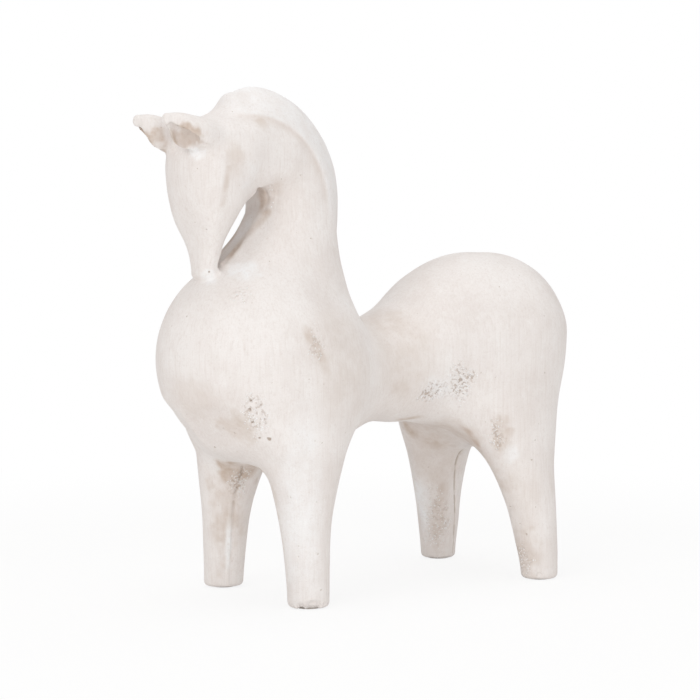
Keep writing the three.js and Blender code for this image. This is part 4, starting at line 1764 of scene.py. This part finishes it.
class Finish:
    """A finish that dresses pieces in its material."""

    name: str = "finish"

    def __init__(self) -> None:
        """Start with no material made."""
        self._made: bpy.types.Material | None = None

    def shade(self, tree: ShaderTree) -> None:
        """Lay the finish's nodes.

        Args:
            tree: The material's nodes.
        """
        raise NotImplementedError

    @property
    def material(self) -> bpy.types.Material:
        """Make the material on first use.

        Returns:
            The finish's material.
        """
        if self._made is None:
            self._made = bpy.data.materials.new(self.name)
            self.shade(ShaderTree(self._made))
        return self._made

    def dress(self, piece: bpy.types.Object) -> None:
        """Put the finish in all of a piece's slots.

        Args:
            piece: The piece.
        """
        if not piece.material_slots:
            piece.data.materials.append(self.material)
        for place in piece.material_slots:
            place.material = self.material


class CementFinish(Finish):
    """Chalky limewashed cement: mottled, wiped downwards, pinholed, marked brown in places, with
    painted shade in hollows, pits and grooves and painted highlights in places.
    """

    name = "limewashed_cement"

    def shade(self, tree: ShaderTree) -> None:
        """Lay the finish's nodes.

        Args:
            tree: The material's nodes.
        """
        here = tree.place()
        cloud = tree.noise(here, 22.0, 4.0)
        bloom = tree.noise(here, 75.0, 5.0, 0.65)
        wipe = tree.noise(tree.place((1.0, 1.0, 0.14)), 210.0, 4.0, 0.6)
        stroke = tree.noise(tree.place((1.0, 1.0, 0.05)), 650.0, 3.0, 0.6)
        grain = tree.noise(here, 1100.0, 3.0, 0.7)
        fleck = tree.noise(here, 420.0, 3.0, 0.6)
        pore = tree.noise(here, 260.0, 2.0, 0.5)
        stain_and_shade, rough = tree.layer("stain_and_shade"), tree.layer("rough")
        chalk_and_highlight, pit = tree.layer("chalk_and_highlight"), tree.layer("pit")

        colour = tree.mix(cloud.between(0.35, 0.7), linear(237, 232, 229), linear(229, 222, 218))
        colour = tree.mix(bloom.between(0.5, 0.75) * 0.35, colour, linear(243, 241, 239))
        colour = tree.mix(wipe.between(0.52, 0.8) * 0.25, colour, linear(219, 209, 203))
        colour = tree.mix(stroke.between(0.5, 0.72) * 0.28, colour, linear(216, 206, 199))
        colour = tree.mix((1.0 - stroke.between(0.28, 0.5)) * 0.22, colour, linear(244, 242, 240))
        # Brown staining, with painted shade in hollows, under the belly, across the waist, along
        # the slot and under the mane's edge
        soiled_and_shaded = stain_and_shade * (0.45 + bloom.between(0.35, 0.65) * 0.5)
        colour = tree.mix(soiled_and_shaded, colour, linear(197, 178, 162))
        # Chalky patches, with painted highlights on the mane band, the slot's wall and a leg seam
        chalky_and_lit = chalk_and_highlight * (0.35 + bloom.between(0.3, 0.6) * 0.4)
        colour = tree.mix(chalky_and_lit, colour, linear(246, 247, 248))
        speckle = rough * fleck.between(0.5, 0.62)
        colour = tree.mix(speckle * 0.7, colour, linear(170, 149, 131))
        colour = tree.mix(fleck.between(0.52, 0.72) * 0.22, colour, linear(212, 201, 194))
        # Pinholes darkened: painted shade in them, and sunk in the bump
        holes = pore.between(0.74, 0.8)
        colour = tree.mix(holes * 0.6, colour, linear(172, 152, 135))
        # Pits and grooves darkened by their depth: painted shade
        colour = tree.mix(pit.between(0.1, 0.9) * 0.66, colour, linear(160, 139, 121))
        colour = tree.mix(grain.between(0.45, 0.75) * 0.2, colour, linear(205, 195, 188))

        fine = grain * 0.35 + bloom * 0.5 + wipe * 0.35 + stroke * 0.4
        height = fine - holes * 1.2 - speckle * 0.8
        roughness = 0.9 + (bloom - 0.5) * 0.12
        tree.coat(colour, roughness, height, (0.35, 0.0008), {"Specular IOR Level": 0.2})


class FoamFinish(Finish):
    """Rigid white foam of pressed beads."""

    name = "bead_foam"

    def shade(self, tree: ShaderTree) -> None:
        """Lay the finish's nodes.

        Args:
            tree: The material's nodes.
        """
        here = tree.place()
        edges = {"feature": "DISTANCE_TO_EDGE"}
        beads = tree.add("ShaderNodeTexVoronoi", edges, {"Vector": here, "Scale": 260.0})
        seam = 1.0 - beads.between(0.0, 0.09)
        cloud = tree.noise(here, 30.0, 3.0)
        colour = tree.mix(cloud.between(0.3, 0.7), linear(245, 244, 238), linear(238, 236, 229))
        colour = tree.mix(seam * 0.5, colour, linear(214, 211, 203))
        tree.coat(colour, 0.8 + seam * 0.15, beads, (0.6, 0.0008))


class SteelFinish(Finish):
    """Hot-rolled bar with a thin bloom of rust."""

    name = "rolled_bar"

    def shade(self, tree: ShaderTree) -> None:
        """Lay the finish's nodes.

        Args:
            tree: The material's nodes.
        """
        here = tree.place()
        rust = tree.noise(here, 120.0, 5.0, 0.65)
        scale = tree.noise(here, 600.0, 3.0)
        rusty = rust.between(0.48, 0.62)
        colour = tree.mix(rusty, linear(112, 108, 104), linear(128, 84, 56))
        colour = tree.mix(scale.between(0.5, 0.8) * 0.4, colour, linear(70, 62, 57))
        bare = {"Metallic": 0.9 - rusty * 0.75}
        tree.coat(colour, 0.5 + rusty * 0.35, scale + rust, (0.4, 0.0004), bare)


class WireFinish(Finish):
    """Black annealed tie wire."""

    name = "annealed_wire"

    def shade(self, tree: ShaderTree) -> None:
        """Lay the finish's nodes.

        Args:
            tree: The material's nodes.
        """
        here = tree.place()
        scale = tree.noise(here, 900.0, 4.0, 0.6)
        colour = tree.mix(scale.between(0.35, 0.7), linear(66, 63, 61), linear(92, 84, 78))
        tree.coat(colour, 0.4 + scale * 0.3, scale, (0.3, 0.0002), {"Metallic": 0.85})


class FeltFinish(Finish):
    """Pressed wool felt."""

    name = "pressed_felt"

    def shade(self, tree: ShaderTree) -> None:
        """Lay the finish's nodes.

        Args:
            tree: The material's nodes.
        """
        here = tree.place()
        fibre = tree.noise(tree.place((1.0, 0.2, 1.0), (0.0, 0.0, 0.6)), 2200.0, 4.0, 0.7)
        cloud = tree.noise(here, 300.0, 4.0)
        colour = tree.mix(cloud.between(0.3, 0.7), linear(196, 187, 178), linear(210, 202, 194))
        colour = tree.mix(fibre.between(0.5, 0.75) * 0.5, colour, linear(224, 217, 210))
        tree.coat(colour, 0.9 + cloud * 0.1, fibre, (0.7, 0.0003), {"Sheen Weight": 0.4})


# Sub-assemblies


@dataclass(frozen=True)
class Crumbs:
    """Grains of cement that cling where the skin is rough."""

    per_square_millimetre: float = 0.5
    size: float = 0.65
    seed: int = 7

    def group(self, material: bpy.types.Material) -> bpy.types.NodeTree:
        """Lay geometry nodes that scatter grains by a piece's rough layer.

        Args:
            material: The material of the result.

        Returns:
            The node group.
        """
        group = bpy.data.node_groups.new("cement_crumbs", "GeometryNodeTree")
        face = group.interface
        face.new_socket("Skin", in_out="INPUT", socket_type="NodeSocketGeometry")
        for name in ("Density", "Size"):
            face.new_socket(name, in_out="INPUT", socket_type="NodeSocketFloat")
        face.new_socket("Seed", in_out="INPUT", socket_type="NodeSocketInt")
        face.new_socket("Crumbled", in_out="OUTPUT", socket_type="NodeSocketGeometry")
        tree = ShaderTree(group)
        skin, density, size, seed = (
            tree.add("NodeGroupInput", output=name) for name in ("Skin", "Density", "Size", "Seed")
        )
        number = {"data_type": "FLOAT"}
        rough = tree.add("GeometryNodeInputNamedAttribute", number, {"Name": "rough"})
        spread = {"Mesh": skin, "Density": density * rough, "Seed": seed}
        spots = tree.add("GeometryNodeDistributePointsOnFaces", {}, spread)
        ball = tree.add("GeometryNodeMeshIcoSphere", {}, {"Radius": size, "Subdivisions": 1})
        pale = {"Geometry": ball, "Name": "chalk_and_highlight", "Value": 1.0}
        ball = tree.add("GeometryNodeStoreNamedAttribute", number, pale)
        chance = {"data_type": "FLOAT_VECTOR"}
        swell = {0: (0.5, 0.5, 0.5), 1: (1.3, 1.2, 1.0), "Seed": seed}
        scale = tree.add("FunctionNodeRandomValue", chance, swell)
        full_turn = 6.28
        spin = {0: (0.0, 0.0, 0.0), 1: (full_turn,) * 3, "Seed": seed + 1}
        turn = tree.add("FunctionNodeRandomValue", chance, spin)
        put = {"Points": spots, "Instance": ball, "Rotation": turn, "Scale": scale}
        grains = tree.add("GeometryNodeInstanceOnPoints", {}, put)
        joined = tree.add("GeometryNodeJoinGeometry", {}, {"Geometry": grains})
        group.links.new(skin.socket, joined.socket.node.inputs["Geometry"])
        real = tree.add("GeometryNodeRealizeInstances", {}, {"Geometry": joined})
        dressed = tree.add("GeometryNodeSetMaterial", {}, {"Geometry": real, "Material": material})
        tree.add("NodeGroupOutput", {}, {"Crumbled": dressed})
        return group

    def cling(self, piece: bpy.types.Object, material: bpy.types.Material) -> None:
        """Scatter the grains over a piece and make the result its plain mesh.

        Args:
            piece: The piece.
            material: Its material.
        """
        work = piece.modifiers.new("crumbs", "NODES")
        work.node_group = self.group(material)
        sizes = {
            "Density": self.per_square_millimetre / METRES**2,
            "Size": self.size * METRES,
            "Seed": self.seed,
        }
        for item in work.node_group.interface.items_tree:
            if item.name in sizes:
                work[item.identifier] = sizes[item.name]
        mesh = taken(piece, piece.data.name)
        piece.modifiers.clear()
        piece.data = mesh


@dataclass
class Armature:
    """Tied steel bars inside the castings, and the channels that they lie in."""

    spine_bar: float = 8.0
    neck_bar: float = 8.0
    leg_bar: float = 6.0
    fit_gap: float = 0.3
    spine_height: float = 168.0
    spine_ends: tuple[float, float] = (-118.0, 150.0)
    neck_foot: tuple[float, float] = (-14.0, -48.0)
    neck_middle: tuple[float, float] = (-73.0, 250.0)
    arch_radius: float = 41.5
    head_socket: float = 26.0
    hip_height: float = 120.0
    foot_end: float = 12.6
    foot_lead: float = 34.0
    rise_lead: tuple[float, float] = (12.0, 35.0)
    nape_lead: tuple[float, float] = (6.0, 17.5)
    arch_lead: float = 15.0
    quarter_lead: float = 0.5523
    hip_lead: float = 0.22
    bars: tuple[str, ...] = ("spine_bar", "neck_bar", "front_leg_hoop", "rear_leg_hoop")
    ties: tuple[str, ...] = ("front_tie_wire", "rear_tie_wire", "neck_tie_wire")

    @staticmethod
    def bend(*stays: Row, steps: int = 14) -> Array:
        """Run a cubic curve by four stays, or a straight line between two.

        Args:
            *stays: The stays.
            steps: How many points to give.

        Returns:
            Points along it.
        """
        t = np.linspace(0.0, 1.0, steps)[:, None]
        points = [np.array(stay, dtype=float) for stay in stays]
        while len(points) > 1:
            points = [a * (1.0 - t) + b * t for a, b in zip(points, points[1:])]
        return points[0]

    @staticmethod
    def strung(*runs: Array) -> Array:
        """Runs of points strung into one path."""
        return np.concatenate([runs[0], *(run[1:] for run in runs[1:])])

    def spine_path(self) -> Array:
        """Path of the spine bar."""
        front, rear = self.spine_ends
        return self.bend((0.0, front, self.spine_height), (0.0, rear, self.spine_height), steps=2)

    def neck_path(self) -> Array:
        """Run the neck bar along the spine, up the neck, over the poll and into the head.

        Returns:
            Points along its middle.
        """
        foot_z = self.spine_height + (self.spine_bar + self.neck_bar) / 2.0 + self.fit_gap
        start, turn = self.neck_foot
        y, z = self.neck_middle
        rise_y, rise_z = self.rise_lead
        nape_y, nape_z = self.nape_lead
        back, top = POLL_Y + self.arch_radius, POLL_Z + self.arch_radius
        lead = self.arch_radius * self.quarter_lead

        def bent(*stays: tuple[float, float], steps: int = 14) -> Array:
            """A bend on the horse's middle plane, from the y and z of its stays."""
            return self.bend(*((0.0, *stay) for stay in stays), steps=steps)

        foot, middle = (turn, foot_z), (y, z)
        nape, poll = (back, POLL_Z), (POLL_Y, top)
        return self.strung(
            bent((start, foot_z), foot, steps=3),
            bent(foot, (turn - self.foot_lead, foot_z), (y - rise_y, z - rise_z), middle),
            bent(middle, (y + nape_y, z + nape_z), (back, POLL_Z - self.arch_lead), nape),
            bent(nape, (back, POLL_Z + lead), (POLL_Y + lead, top), poll),
            bent(poll, (POLL_Y - self.head_socket, top), steps=3),
        )

    def hoop_path(self, left: Loft) -> Array:
        """Run a leg hoop up the left leg, under the spine and down the right leg.

        Args:
            left: The left leg.

        Returns:
            Points along its middle.
        """
        foot_x, foot_y = left.middle(self.foot_end)
        hip_x, hip_y = left.middle(self.hip_height)
        foot = np.array((foot_x, foot_y, self.foot_end))
        hip = np.array((hip_x, hip_y, self.hip_height))
        crown_z = self.spine_height - (self.spine_bar + self.leg_bar) / 2.0 - self.fit_gap
        lift = hip + (hip - foot) * self.hip_lead
        climb = self.strung(
            self.bend(foot, hip, steps=6),
            self.bend(hip, lift, (hip_x / 2.0, hip_y, crown_z), (0.0, hip_y, crown_z)),
        )
        return self.strung(climb, (climb * (-1.0, 1.0, 1.0))[::-1])

    def channels(self, trunk: TrunkForm) -> list[bpy.types.Mesh]:
        """Make room for the bars in the castings.

        Args:
            trunk: Where the legs stand.

        Returns:
            A solid for each bar, the neck bar second.
        """
        paths = [
            (self.spine_path(), self.spine_bar),
            (self.neck_path(), self.neck_bar),
            (self.hoop_path(trunk.legs[0]), self.leg_bar),
            (self.hoop_path(trunk.legs[2]), self.leg_bar),
        ]
        return [tube(path, bar / 2.0 + self.fit_gap) for path, bar in paths]

    def dress(self, steel: Finish, wire: Finish) -> None:
        """Give the bars and ties their finishes.

        Args:
            steel: The bars' finish.
            wire: The ties' finish.
        """
        for name in self.bars:
            steel.dress(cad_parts[name])
        for name in self.ties:
            wire.dress(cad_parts[name])


@dataclass
class FeltPads:
    """Felt discs let into the soles."""

    diameter: float = 18.0
    thickness: float = 2.6
    edge: float = 0.5
    fit_gap: float = 0.3
    sides: int = 48
    ring_shares: tuple[float, float] = (0.35, 0.7)
    fuzz: float = 0.012
    fuzz_size: float = 1.7
    flat_face: float = 0.05
    crease: float = 60.0
    names: tuple[str, ...] = ("front_left", "front_right", "rear_left", "rear_right")

    def lathe(self, middle: Array | Row, rows: list[tuple[float, float]]) -> tuple[Array, list]:
        """Turn a closed profile of radius and height round an upright line.

        Args:
            middle: x and y of the line.
            rows: Radius and height from the lower pole to the upper one.

        Returns:
            Points and faces.
        """
        x, y = middle
        angle = np.linspace(0.0, 2.0 * math.pi, self.sides, endpoint=False)
        points = [(x, y, rows[0][1])]
        for radius, height in rows[1:-1]:
            for turn in angle:
                points.append((x + radius * math.cos(turn), y + radius * math.sin(turn), height))
        points.append((x, y, rows[-1][1]))
        faces = []
        rings = len(rows) - 2
        for i in range(self.sides):
            j = (i + 1) % self.sides
            faces.append((0, 1 + j, 1 + i))
            for ring in range(rings - 1):
                low = 1 + ring * self.sides
                high = low + self.sides
                faces.append((low + i, low + j, high + j, high + i))
            top = 1 + (rings - 1) * self.sides
            faces.append((top + i, top + j, len(points) - 1))
        return np.array(points), faces

    def recesses(self, trunk: TrunkForm) -> list[bpy.types.Mesh]:
        """Make room for the pads in the soles.

        Args:
            trunk: Where the legs stand.

        Returns:
            A solid for each pad.
        """
        radius, top = self.diameter / 2.0 + self.fit_gap, self.thickness + self.fit_gap
        rows = [(0.0, -1.0), (radius, -1.0), (radius, top), (0.0, top)]
        meshes = []
        for leg in trunk.legs:
            points, faces = self.lathe(leg.middle(0.0), rows)
            meshes.append(mesh_from(points, faces, "recess"))
        return meshes

    def build(self, trunk: TrunkForm, felt: Finish) -> list[bpy.types.Object]:
        """Make the four pads.

        Args:
            trunk: Where the legs stand.
            felt: Their finish.

        Returns:
            The pads.
        """
        radius, high, edge = self.diameter / 2.0, self.thickness, self.edge
        rows = [(0.0, 0.0)]
        rows += [(radius * share, 0.0) for share in self.ring_shares]
        for turn in np.linspace(-math.pi / 2.0, math.pi / 2.0, 9):
            centre = edge if turn < 0.0 else high - edge
            rows.append((radius - edge + edge * math.cos(turn), centre + edge * math.sin(turn)))
        rows += [(radius * share, high) for share in reversed(self.ring_shares)]
        rows.append((0.0, high))
        pads = []
        for name, leg in zip(self.names, trunk.legs):
            middle = np.array(leg.middle(0.0))
            points, faces = self.lathe(middle, rows)
            z = points[:, 2]
            inner = (z > self.flat_face) & (z < high - self.flat_face)
            share = 1.0 - self.fuzz * (1.0 + soft_noise(points, self.fuzz_size, 11)) * inner
            points[:, :2] = middle + (points[:, :2] - middle) * share[:, None]
            mesh = mesh_from(points, faces, name + "_felt")
            smooth_shaded(mesh, self.crease)
            pad = shown(mesh, name + "_felt")
            felt.dress(pad)
            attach(pad, ROOT)
            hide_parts(name + "_foot_pad")
            pads.append(pad)
        return pads


@dataclass(frozen=True)
class SkinPlan:
    """How a skin is laid: the box that holds it, its first cell, and its scattered pits.

    Side is 1 where the pits keep off the head's share of the horse, and -1 where they keep to it.
    """

    name: str
    low: Row
    high: Row
    cell: float
    pits: int
    seed: int
    side: float


@dataclass
class Castings:
    """The two body shells, the head and the bed between them, cut from skins of one form."""

    horse: HorseForm
    relief: Relief = field(default_factory=Relief)
    marks: SkinMarks = field(default_factory=SkinMarks)
    crumbs: Crumbs = field(default_factory=Crumbs)
    body_plan: SkinPlan = SkinPlan(
        "body", (0.0, -180.0, -12.0), (90.0, 196.0, 396.0), 3.3, 44, 17, 1.0
    )
    head_plan: SkinPlan = SkinPlan(
        "head", (0.0, -192.0, 222.0), (48.0, -76.0, 397.0), 1.9, 9, 19, -1.0
    )
    pit_margin: float = 1.0
    hollow_low: Row = (0.0, -170.0, 90.0)
    hollow_high: Row = (96.0, 190.0, 330.0)
    hollow_cell: float = 7.0
    mortar: float = 3.0
    joint_foot: tuple[float, float] = (-101.5, 301.0)
    seat_back: tuple[float, float] = (-133.0, 248.5)
    seat_slope: float = 20.0
    joint_reach: float = 120.0
    front_reach: float = -260.0
    stub: float = 20.0
    crease: float = 50.0

    def head_share(self, points: Array) -> Array:
        """Measure how far points lie outside the head's share of the horse.

        Args:
            points: Points in the horse's frame.

        Returns:
            Distances, below zero inside.
        """
        slope = math.radians(self.seat_slope)
        back_y, back_z = self.seat_back
        foot_y, foot_z = self.joint_foot
        y, z = points[:, 1], points[:, 2]
        seat = (y - back_y) * math.sin(slope) - (z - back_z) * math.cos(slope)
        rise, run = foot_z - back_z, foot_y - back_y
        slot = ((y - back_y) * rise - (z - back_z) * run) / math.hypot(rise, run)
        return np.maximum(np.maximum(seat, slot), y - foot_y)

    def head_side(self, joint: float, seat: float) -> bpy.types.Mesh:
        """Make a solid of everything forward of the head's joints.

        Args:
            joint: How far the upright face moves towards the head.
            seat: How far the sloping face moves towards the head.

        Returns:
            A closed mesh.
        """
        front, top = self.front_reach, self.joint_foot[1] + self.joint_reach
        slope = math.radians(self.seat_slope)
        lift = seat / math.cos(slope)
        back_y, back_z = self.seat_back
        front_z = back_z + (front - back_y) * math.tan(slope)
        foot_y, foot_z = self.joint_foot
        outline = [
            (foot_y - joint, foot_z),
            (foot_y - joint, top),
            (front, top),
            (front, front_z + lift),
            (back_y, back_z + lift),
        ]
        return across_horse(outline)

    def skin(self, form: Form, plan: SkinPlan) -> bpy.types.Mesh:
        """Lay a fine net over a form and give it the hand-finished relief.

        Args:
            form: Distances to the form.
            plan: How the skin is laid; its first net is split once.

        Returns:
            A closed mesh.
        """
        reach = plan.cell / 2.0
        net = drawn_on(form, half_net(form, plan.low, plan.high, plan.cell), reach)
        net = drawn_on(form, refined(net), reach)
        slope = slope_of(form, net.points, form(net.points))
        slope[net.points[:, 0] == 0.0, 0] = 0.0
        way = slope / (np.linalg.norm(slope, axis=1)[:, None] + 1e-9)
        images = way[net.points[:, 0] > 0.0] * (-1.0, 1.0, 1.0)
        ways = np.concatenate([way, images])
        whole = both_sides(net)
        LOG.info("%s: %d points on the half", plan.name, len(net.points))
        points = whole.points + ways * self.relief.height(whole.points)[:, None]
        free = plan.side * self.head_share(points) > self.pit_margin
        self.marks = self.marks.seated(points, ways, free, plan.pits, plan.seed)
        mesh = mesh_from(points, whole.faces, plan.name)
        press_marks(mesh, self.marks)
        return mesh

    def cavity(
        self, channels: list[bpy.types.Mesh], recesses: list[bpy.types.Mesh]
    ) -> bpy.types.Mesh:
        """Make the room inside the body.

        Args:
            channels: Room for the bars.
            recesses: Room for the pads.

        Returns:
            A closed mesh.
        """
        form = self.horse.hollow
        net = half_net(form, self.hollow_low, self.hollow_high, self.hollow_cell)
        whole = both_sides(drawn_on(form, net, self.hollow_cell / 2.0))
        room = mesh_from(whole.points, whole.faces, "hollow")
        for cutter in [*channels, *recesses]:
            room = carved(room, cutter, Carve.JOINED)
        return room

    def finished(
        self, mesh: bpy.types.Mesh, name: str, nodes: tuple[str, ...], cement: Finish
    ) -> bpy.types.Object:
        """Shade, dress and hand over one casting.

        Args:
            mesh: Its mesh.
            name: Its name.
            nodes: The CAD nodes that it stands for.
            cement: Its finish.

        Returns:
            The casting.
        """
        mesh.name = name
        mesh.materials.clear()
        smooth_shaded(mesh, self.crease)
        write_layers(mesh, self.marks)
        piece = shown(mesh, name)
        cement.dress(piece)
        self.crumbs.cling(piece, cement.material)
        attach(piece, ROOT)
        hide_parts(*nodes)
        return piece

    def build(self, armature: Armature, pads: FeltPads, cement: Finish) -> list[bpy.types.Object]:
        """Make the castings.

        Args:
            armature: The bars that need channels.
            pads: The felt pads that need recesses.
            cement: The castings' finish.

        Returns:
            Left shell, right shell, head and bed.
        """
        whole = self.horse.whole
        half = self.mortar / 2.0

        def body_form(points: Array) -> Array:
            """The horse without most of its head."""
            return np.maximum(whole(points), -self.head_share(points) - self.stub)

        channels = armature.channels(self.horse.trunk)
        neck_channel = channels[1].copy()
        body = self.skin(body_form, self.body_plan)
        body = carved(body, self.head_side(-half, 0.0), Carve.AWAY)
        body = carved(body, self.cavity(channels, pads.recesses(self.horse.trunk)), Carve.AWAY)
        far = 300.0
        left = carved(body.copy(), block((0.0, -far, -far), (far, far, 2.0 * far)), Carve.SHARED)
        right = carved(body, block((-far, -far, -far), (0.0, far, 2.0 * far)), Carve.SHARED)
        head = self.skin(whole, self.head_plan)
        bed = carved(head.copy(), self.head_side(-half, 0.0), Carve.SHARED)
        bed = carved(bed, self.head_side(half, -self.joint_reach), Carve.AWAY)
        bed = carved(bed, neck_channel.copy(), Carve.AWAY)
        head = carved(head, self.head_side(half, 0.0), Carve.SHARED)
        head = carved(head, neck_channel, Carve.AWAY)
        return [
            self.finished(left, "left_shell", ("left_body_half",), cement),
            self.finished(right, "right_shell", ("right_body_half",), cement),
            self.finished(head, "cast_head", ("head_casting",), cement),
            self.finished(bed, "neck_bed", ("neck_mortar_bed",), cement),
        ]


@dataclass(frozen=True)
class Lamp:
    """A square soft lamp: its place and side in metres, its power in watts and its colour."""

    name: str
    place: Row
    side: float
    power: float
    colour: Row = (1.0, 1.0, 1.0)


@dataclass
class Studio:
    """Camera, lamps, pale floor and white surroundings."""

    aim: Row = (0.0, -7.0, 181.3)
    eye: Row = (1326.0, -996.0, 292.0)
    lens: float = 111.5
    sensor: float = 36.0
    sight: float = 20.0
    lamps: tuple[Lamp, ...] = (
        Lamp("key", (0.9, -2.2, 1.5), 1.8, 17.0, (1.0, 0.99, 0.98)),
        Lamp("fill", (2.4, 0.6, 1.0), 1.8, 6.3),
        Lamp("top", (-0.2, 0.1, 2.4), 1.8, 13.2),
        Lamp("low", (2.2, -1.2, 0.35), 1.2, 8.2),
    )
    ambient: float = 0.6
    floor_reach: float = 3.0

    def camera(self) -> None:
        """Stand the camera where the photograph was taken from."""
        data = bpy.data.cameras.new("camera")
        data.lens = self.lens
        data.sensor_width = self.sensor
        data.clip_end = self.sight
        eye = Vector(self.eye) * METRES
        stand = bpy.data.objects.new("camera", data)
        stand.location = eye
        stand.rotation_euler = (Vector(self.aim) * METRES - eye).to_track_quat("-Z", "Y").to_euler()
        bpy.context.scene.collection.objects.link(stand)
        bpy.context.scene.camera = stand

    def hang(self, lamp: Lamp) -> None:
        """Hang a lamp that looks at the horse.

        Args:
            lamp: The lamp.
        """
        data = bpy.data.lights.new(lamp.name, "AREA")
        data.size = lamp.side
        data.energy = lamp.power
        data.color = lamp.colour
        stand = bpy.data.objects.new(lamp.name, data)
        stand.location = lamp.place
        towards = Vector(self.aim) * METRES - Vector(lamp.place)
        stand.rotation_euler = towards.to_track_quat("-Z", "Y").to_euler()
        bpy.context.scene.collection.objects.link(stand)

    def seen(self, tree: ShaderTree) -> Wire:
        """Tell apart the rays that show what they meet.

        Args:
            tree: The nodes to add to.

        Returns:
            1 for a ray from the camera, off gloss or through glass, and 0 for any other.
        """
        camera = tree.add("ShaderNodeLightPath", output="Is Camera Ray")
        glossy = tree.add("ShaderNodeLightPath", output="Is Glossy Ray")
        through = tree.add("ShaderNodeLightPath", output="Is Transmission Ray")
        either = tree.maths("MAXIMUM", camera, glossy)
        return tree.maths("MAXIMUM", either, through)

    def surroundings(self) -> None:
        """White surroundings that give soft light from all round."""
        world = bpy.data.worlds.new("studio")
        bpy.context.scene.world = world
        tree = ShaderTree(world)
        white = (1.0, 1.0, 1.0, 1.0)
        soft = tree.add("ShaderNodeBackground", {}, {"Color": white, "Strength": self.ambient})
        back = tree.add("ShaderNodeBackground", {}, {"Color": white, "Strength": 1.0})
        shader = tree.add("ShaderNodeMixShader", {}, {0: self.seen(tree), 1: soft, 2: back})
        tree.surface(shader, "ShaderNodeOutputWorld")

    def floor(self) -> None:
        """Pale floor that keeps the shadow and runs out into white."""
        reach = self.floor_reach / METRES
        corners = [(x * reach, y * reach, 0.0) for x, y in ((-1, -1), (1, -1), (1, 1), (-1, 1))]
        ground = shown(mesh_from(corners, [(0, 1, 2, 3)], "floor"), "floor")
        material = bpy.data.materials.new("pale_floor")
        ground.data.materials.append(material)
        tree = ShaderTree(material)
        where = tree.add("ShaderNodeTexCoord", output="Object")
        away = tree.add("ShaderNodeVectorMath", {"operation": "LENGTH"}, {0: where}, "Value")
        plain, more = 0.84, 0.16
        share = self.seen(tree) * (plain + more * away.between(0.3, 0.8))
        matt = tree.add("ShaderNodeBsdfDiffuse", {}, {"Color": linear(250, 249, 248)})
        white = tree.add("ShaderNodeEmission", {}, {"Color": (1.0, 1.0, 1.0, 1.0), "Strength": 1.0})
        tree.surface(tree.add("ShaderNodeMixShader", {}, {0: share, 1: matt, 2: white}))

    def build(self) -> None:
        """Set up the whole studio."""
        self.camera()
        for lamp in self.lamps:
            self.hang(lamp)
        self.surroundings()
        self.floor()
        bpy.context.scene.view_settings.view_transform = "Standard"


def main() -> None:
    """Build every sub-assembly in order and report each piece."""
    logging.basicConfig(level=logging.INFO, format="%(message)s")
    Studio().build()
    horse = HorseForm()
    armature = Armature()
    pads = FeltPads()
    cement = CementFinish()
    pieces = Castings(horse).build(armature, pads, cement)
    pieces += pads.build(horse.trunk, FeltFinish())
    armature.dress(SteelFinish(), WireFinish())
    foam = FoamFinish()
    for name in ("left_foam_core", "right_foam_core"):
        foam.dress(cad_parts[name])
    for piece in pieces:
        LOG.info("%s: %d faces", piece.name, len(piece.data.polygons))


if __name__ == "__main__":
    main()
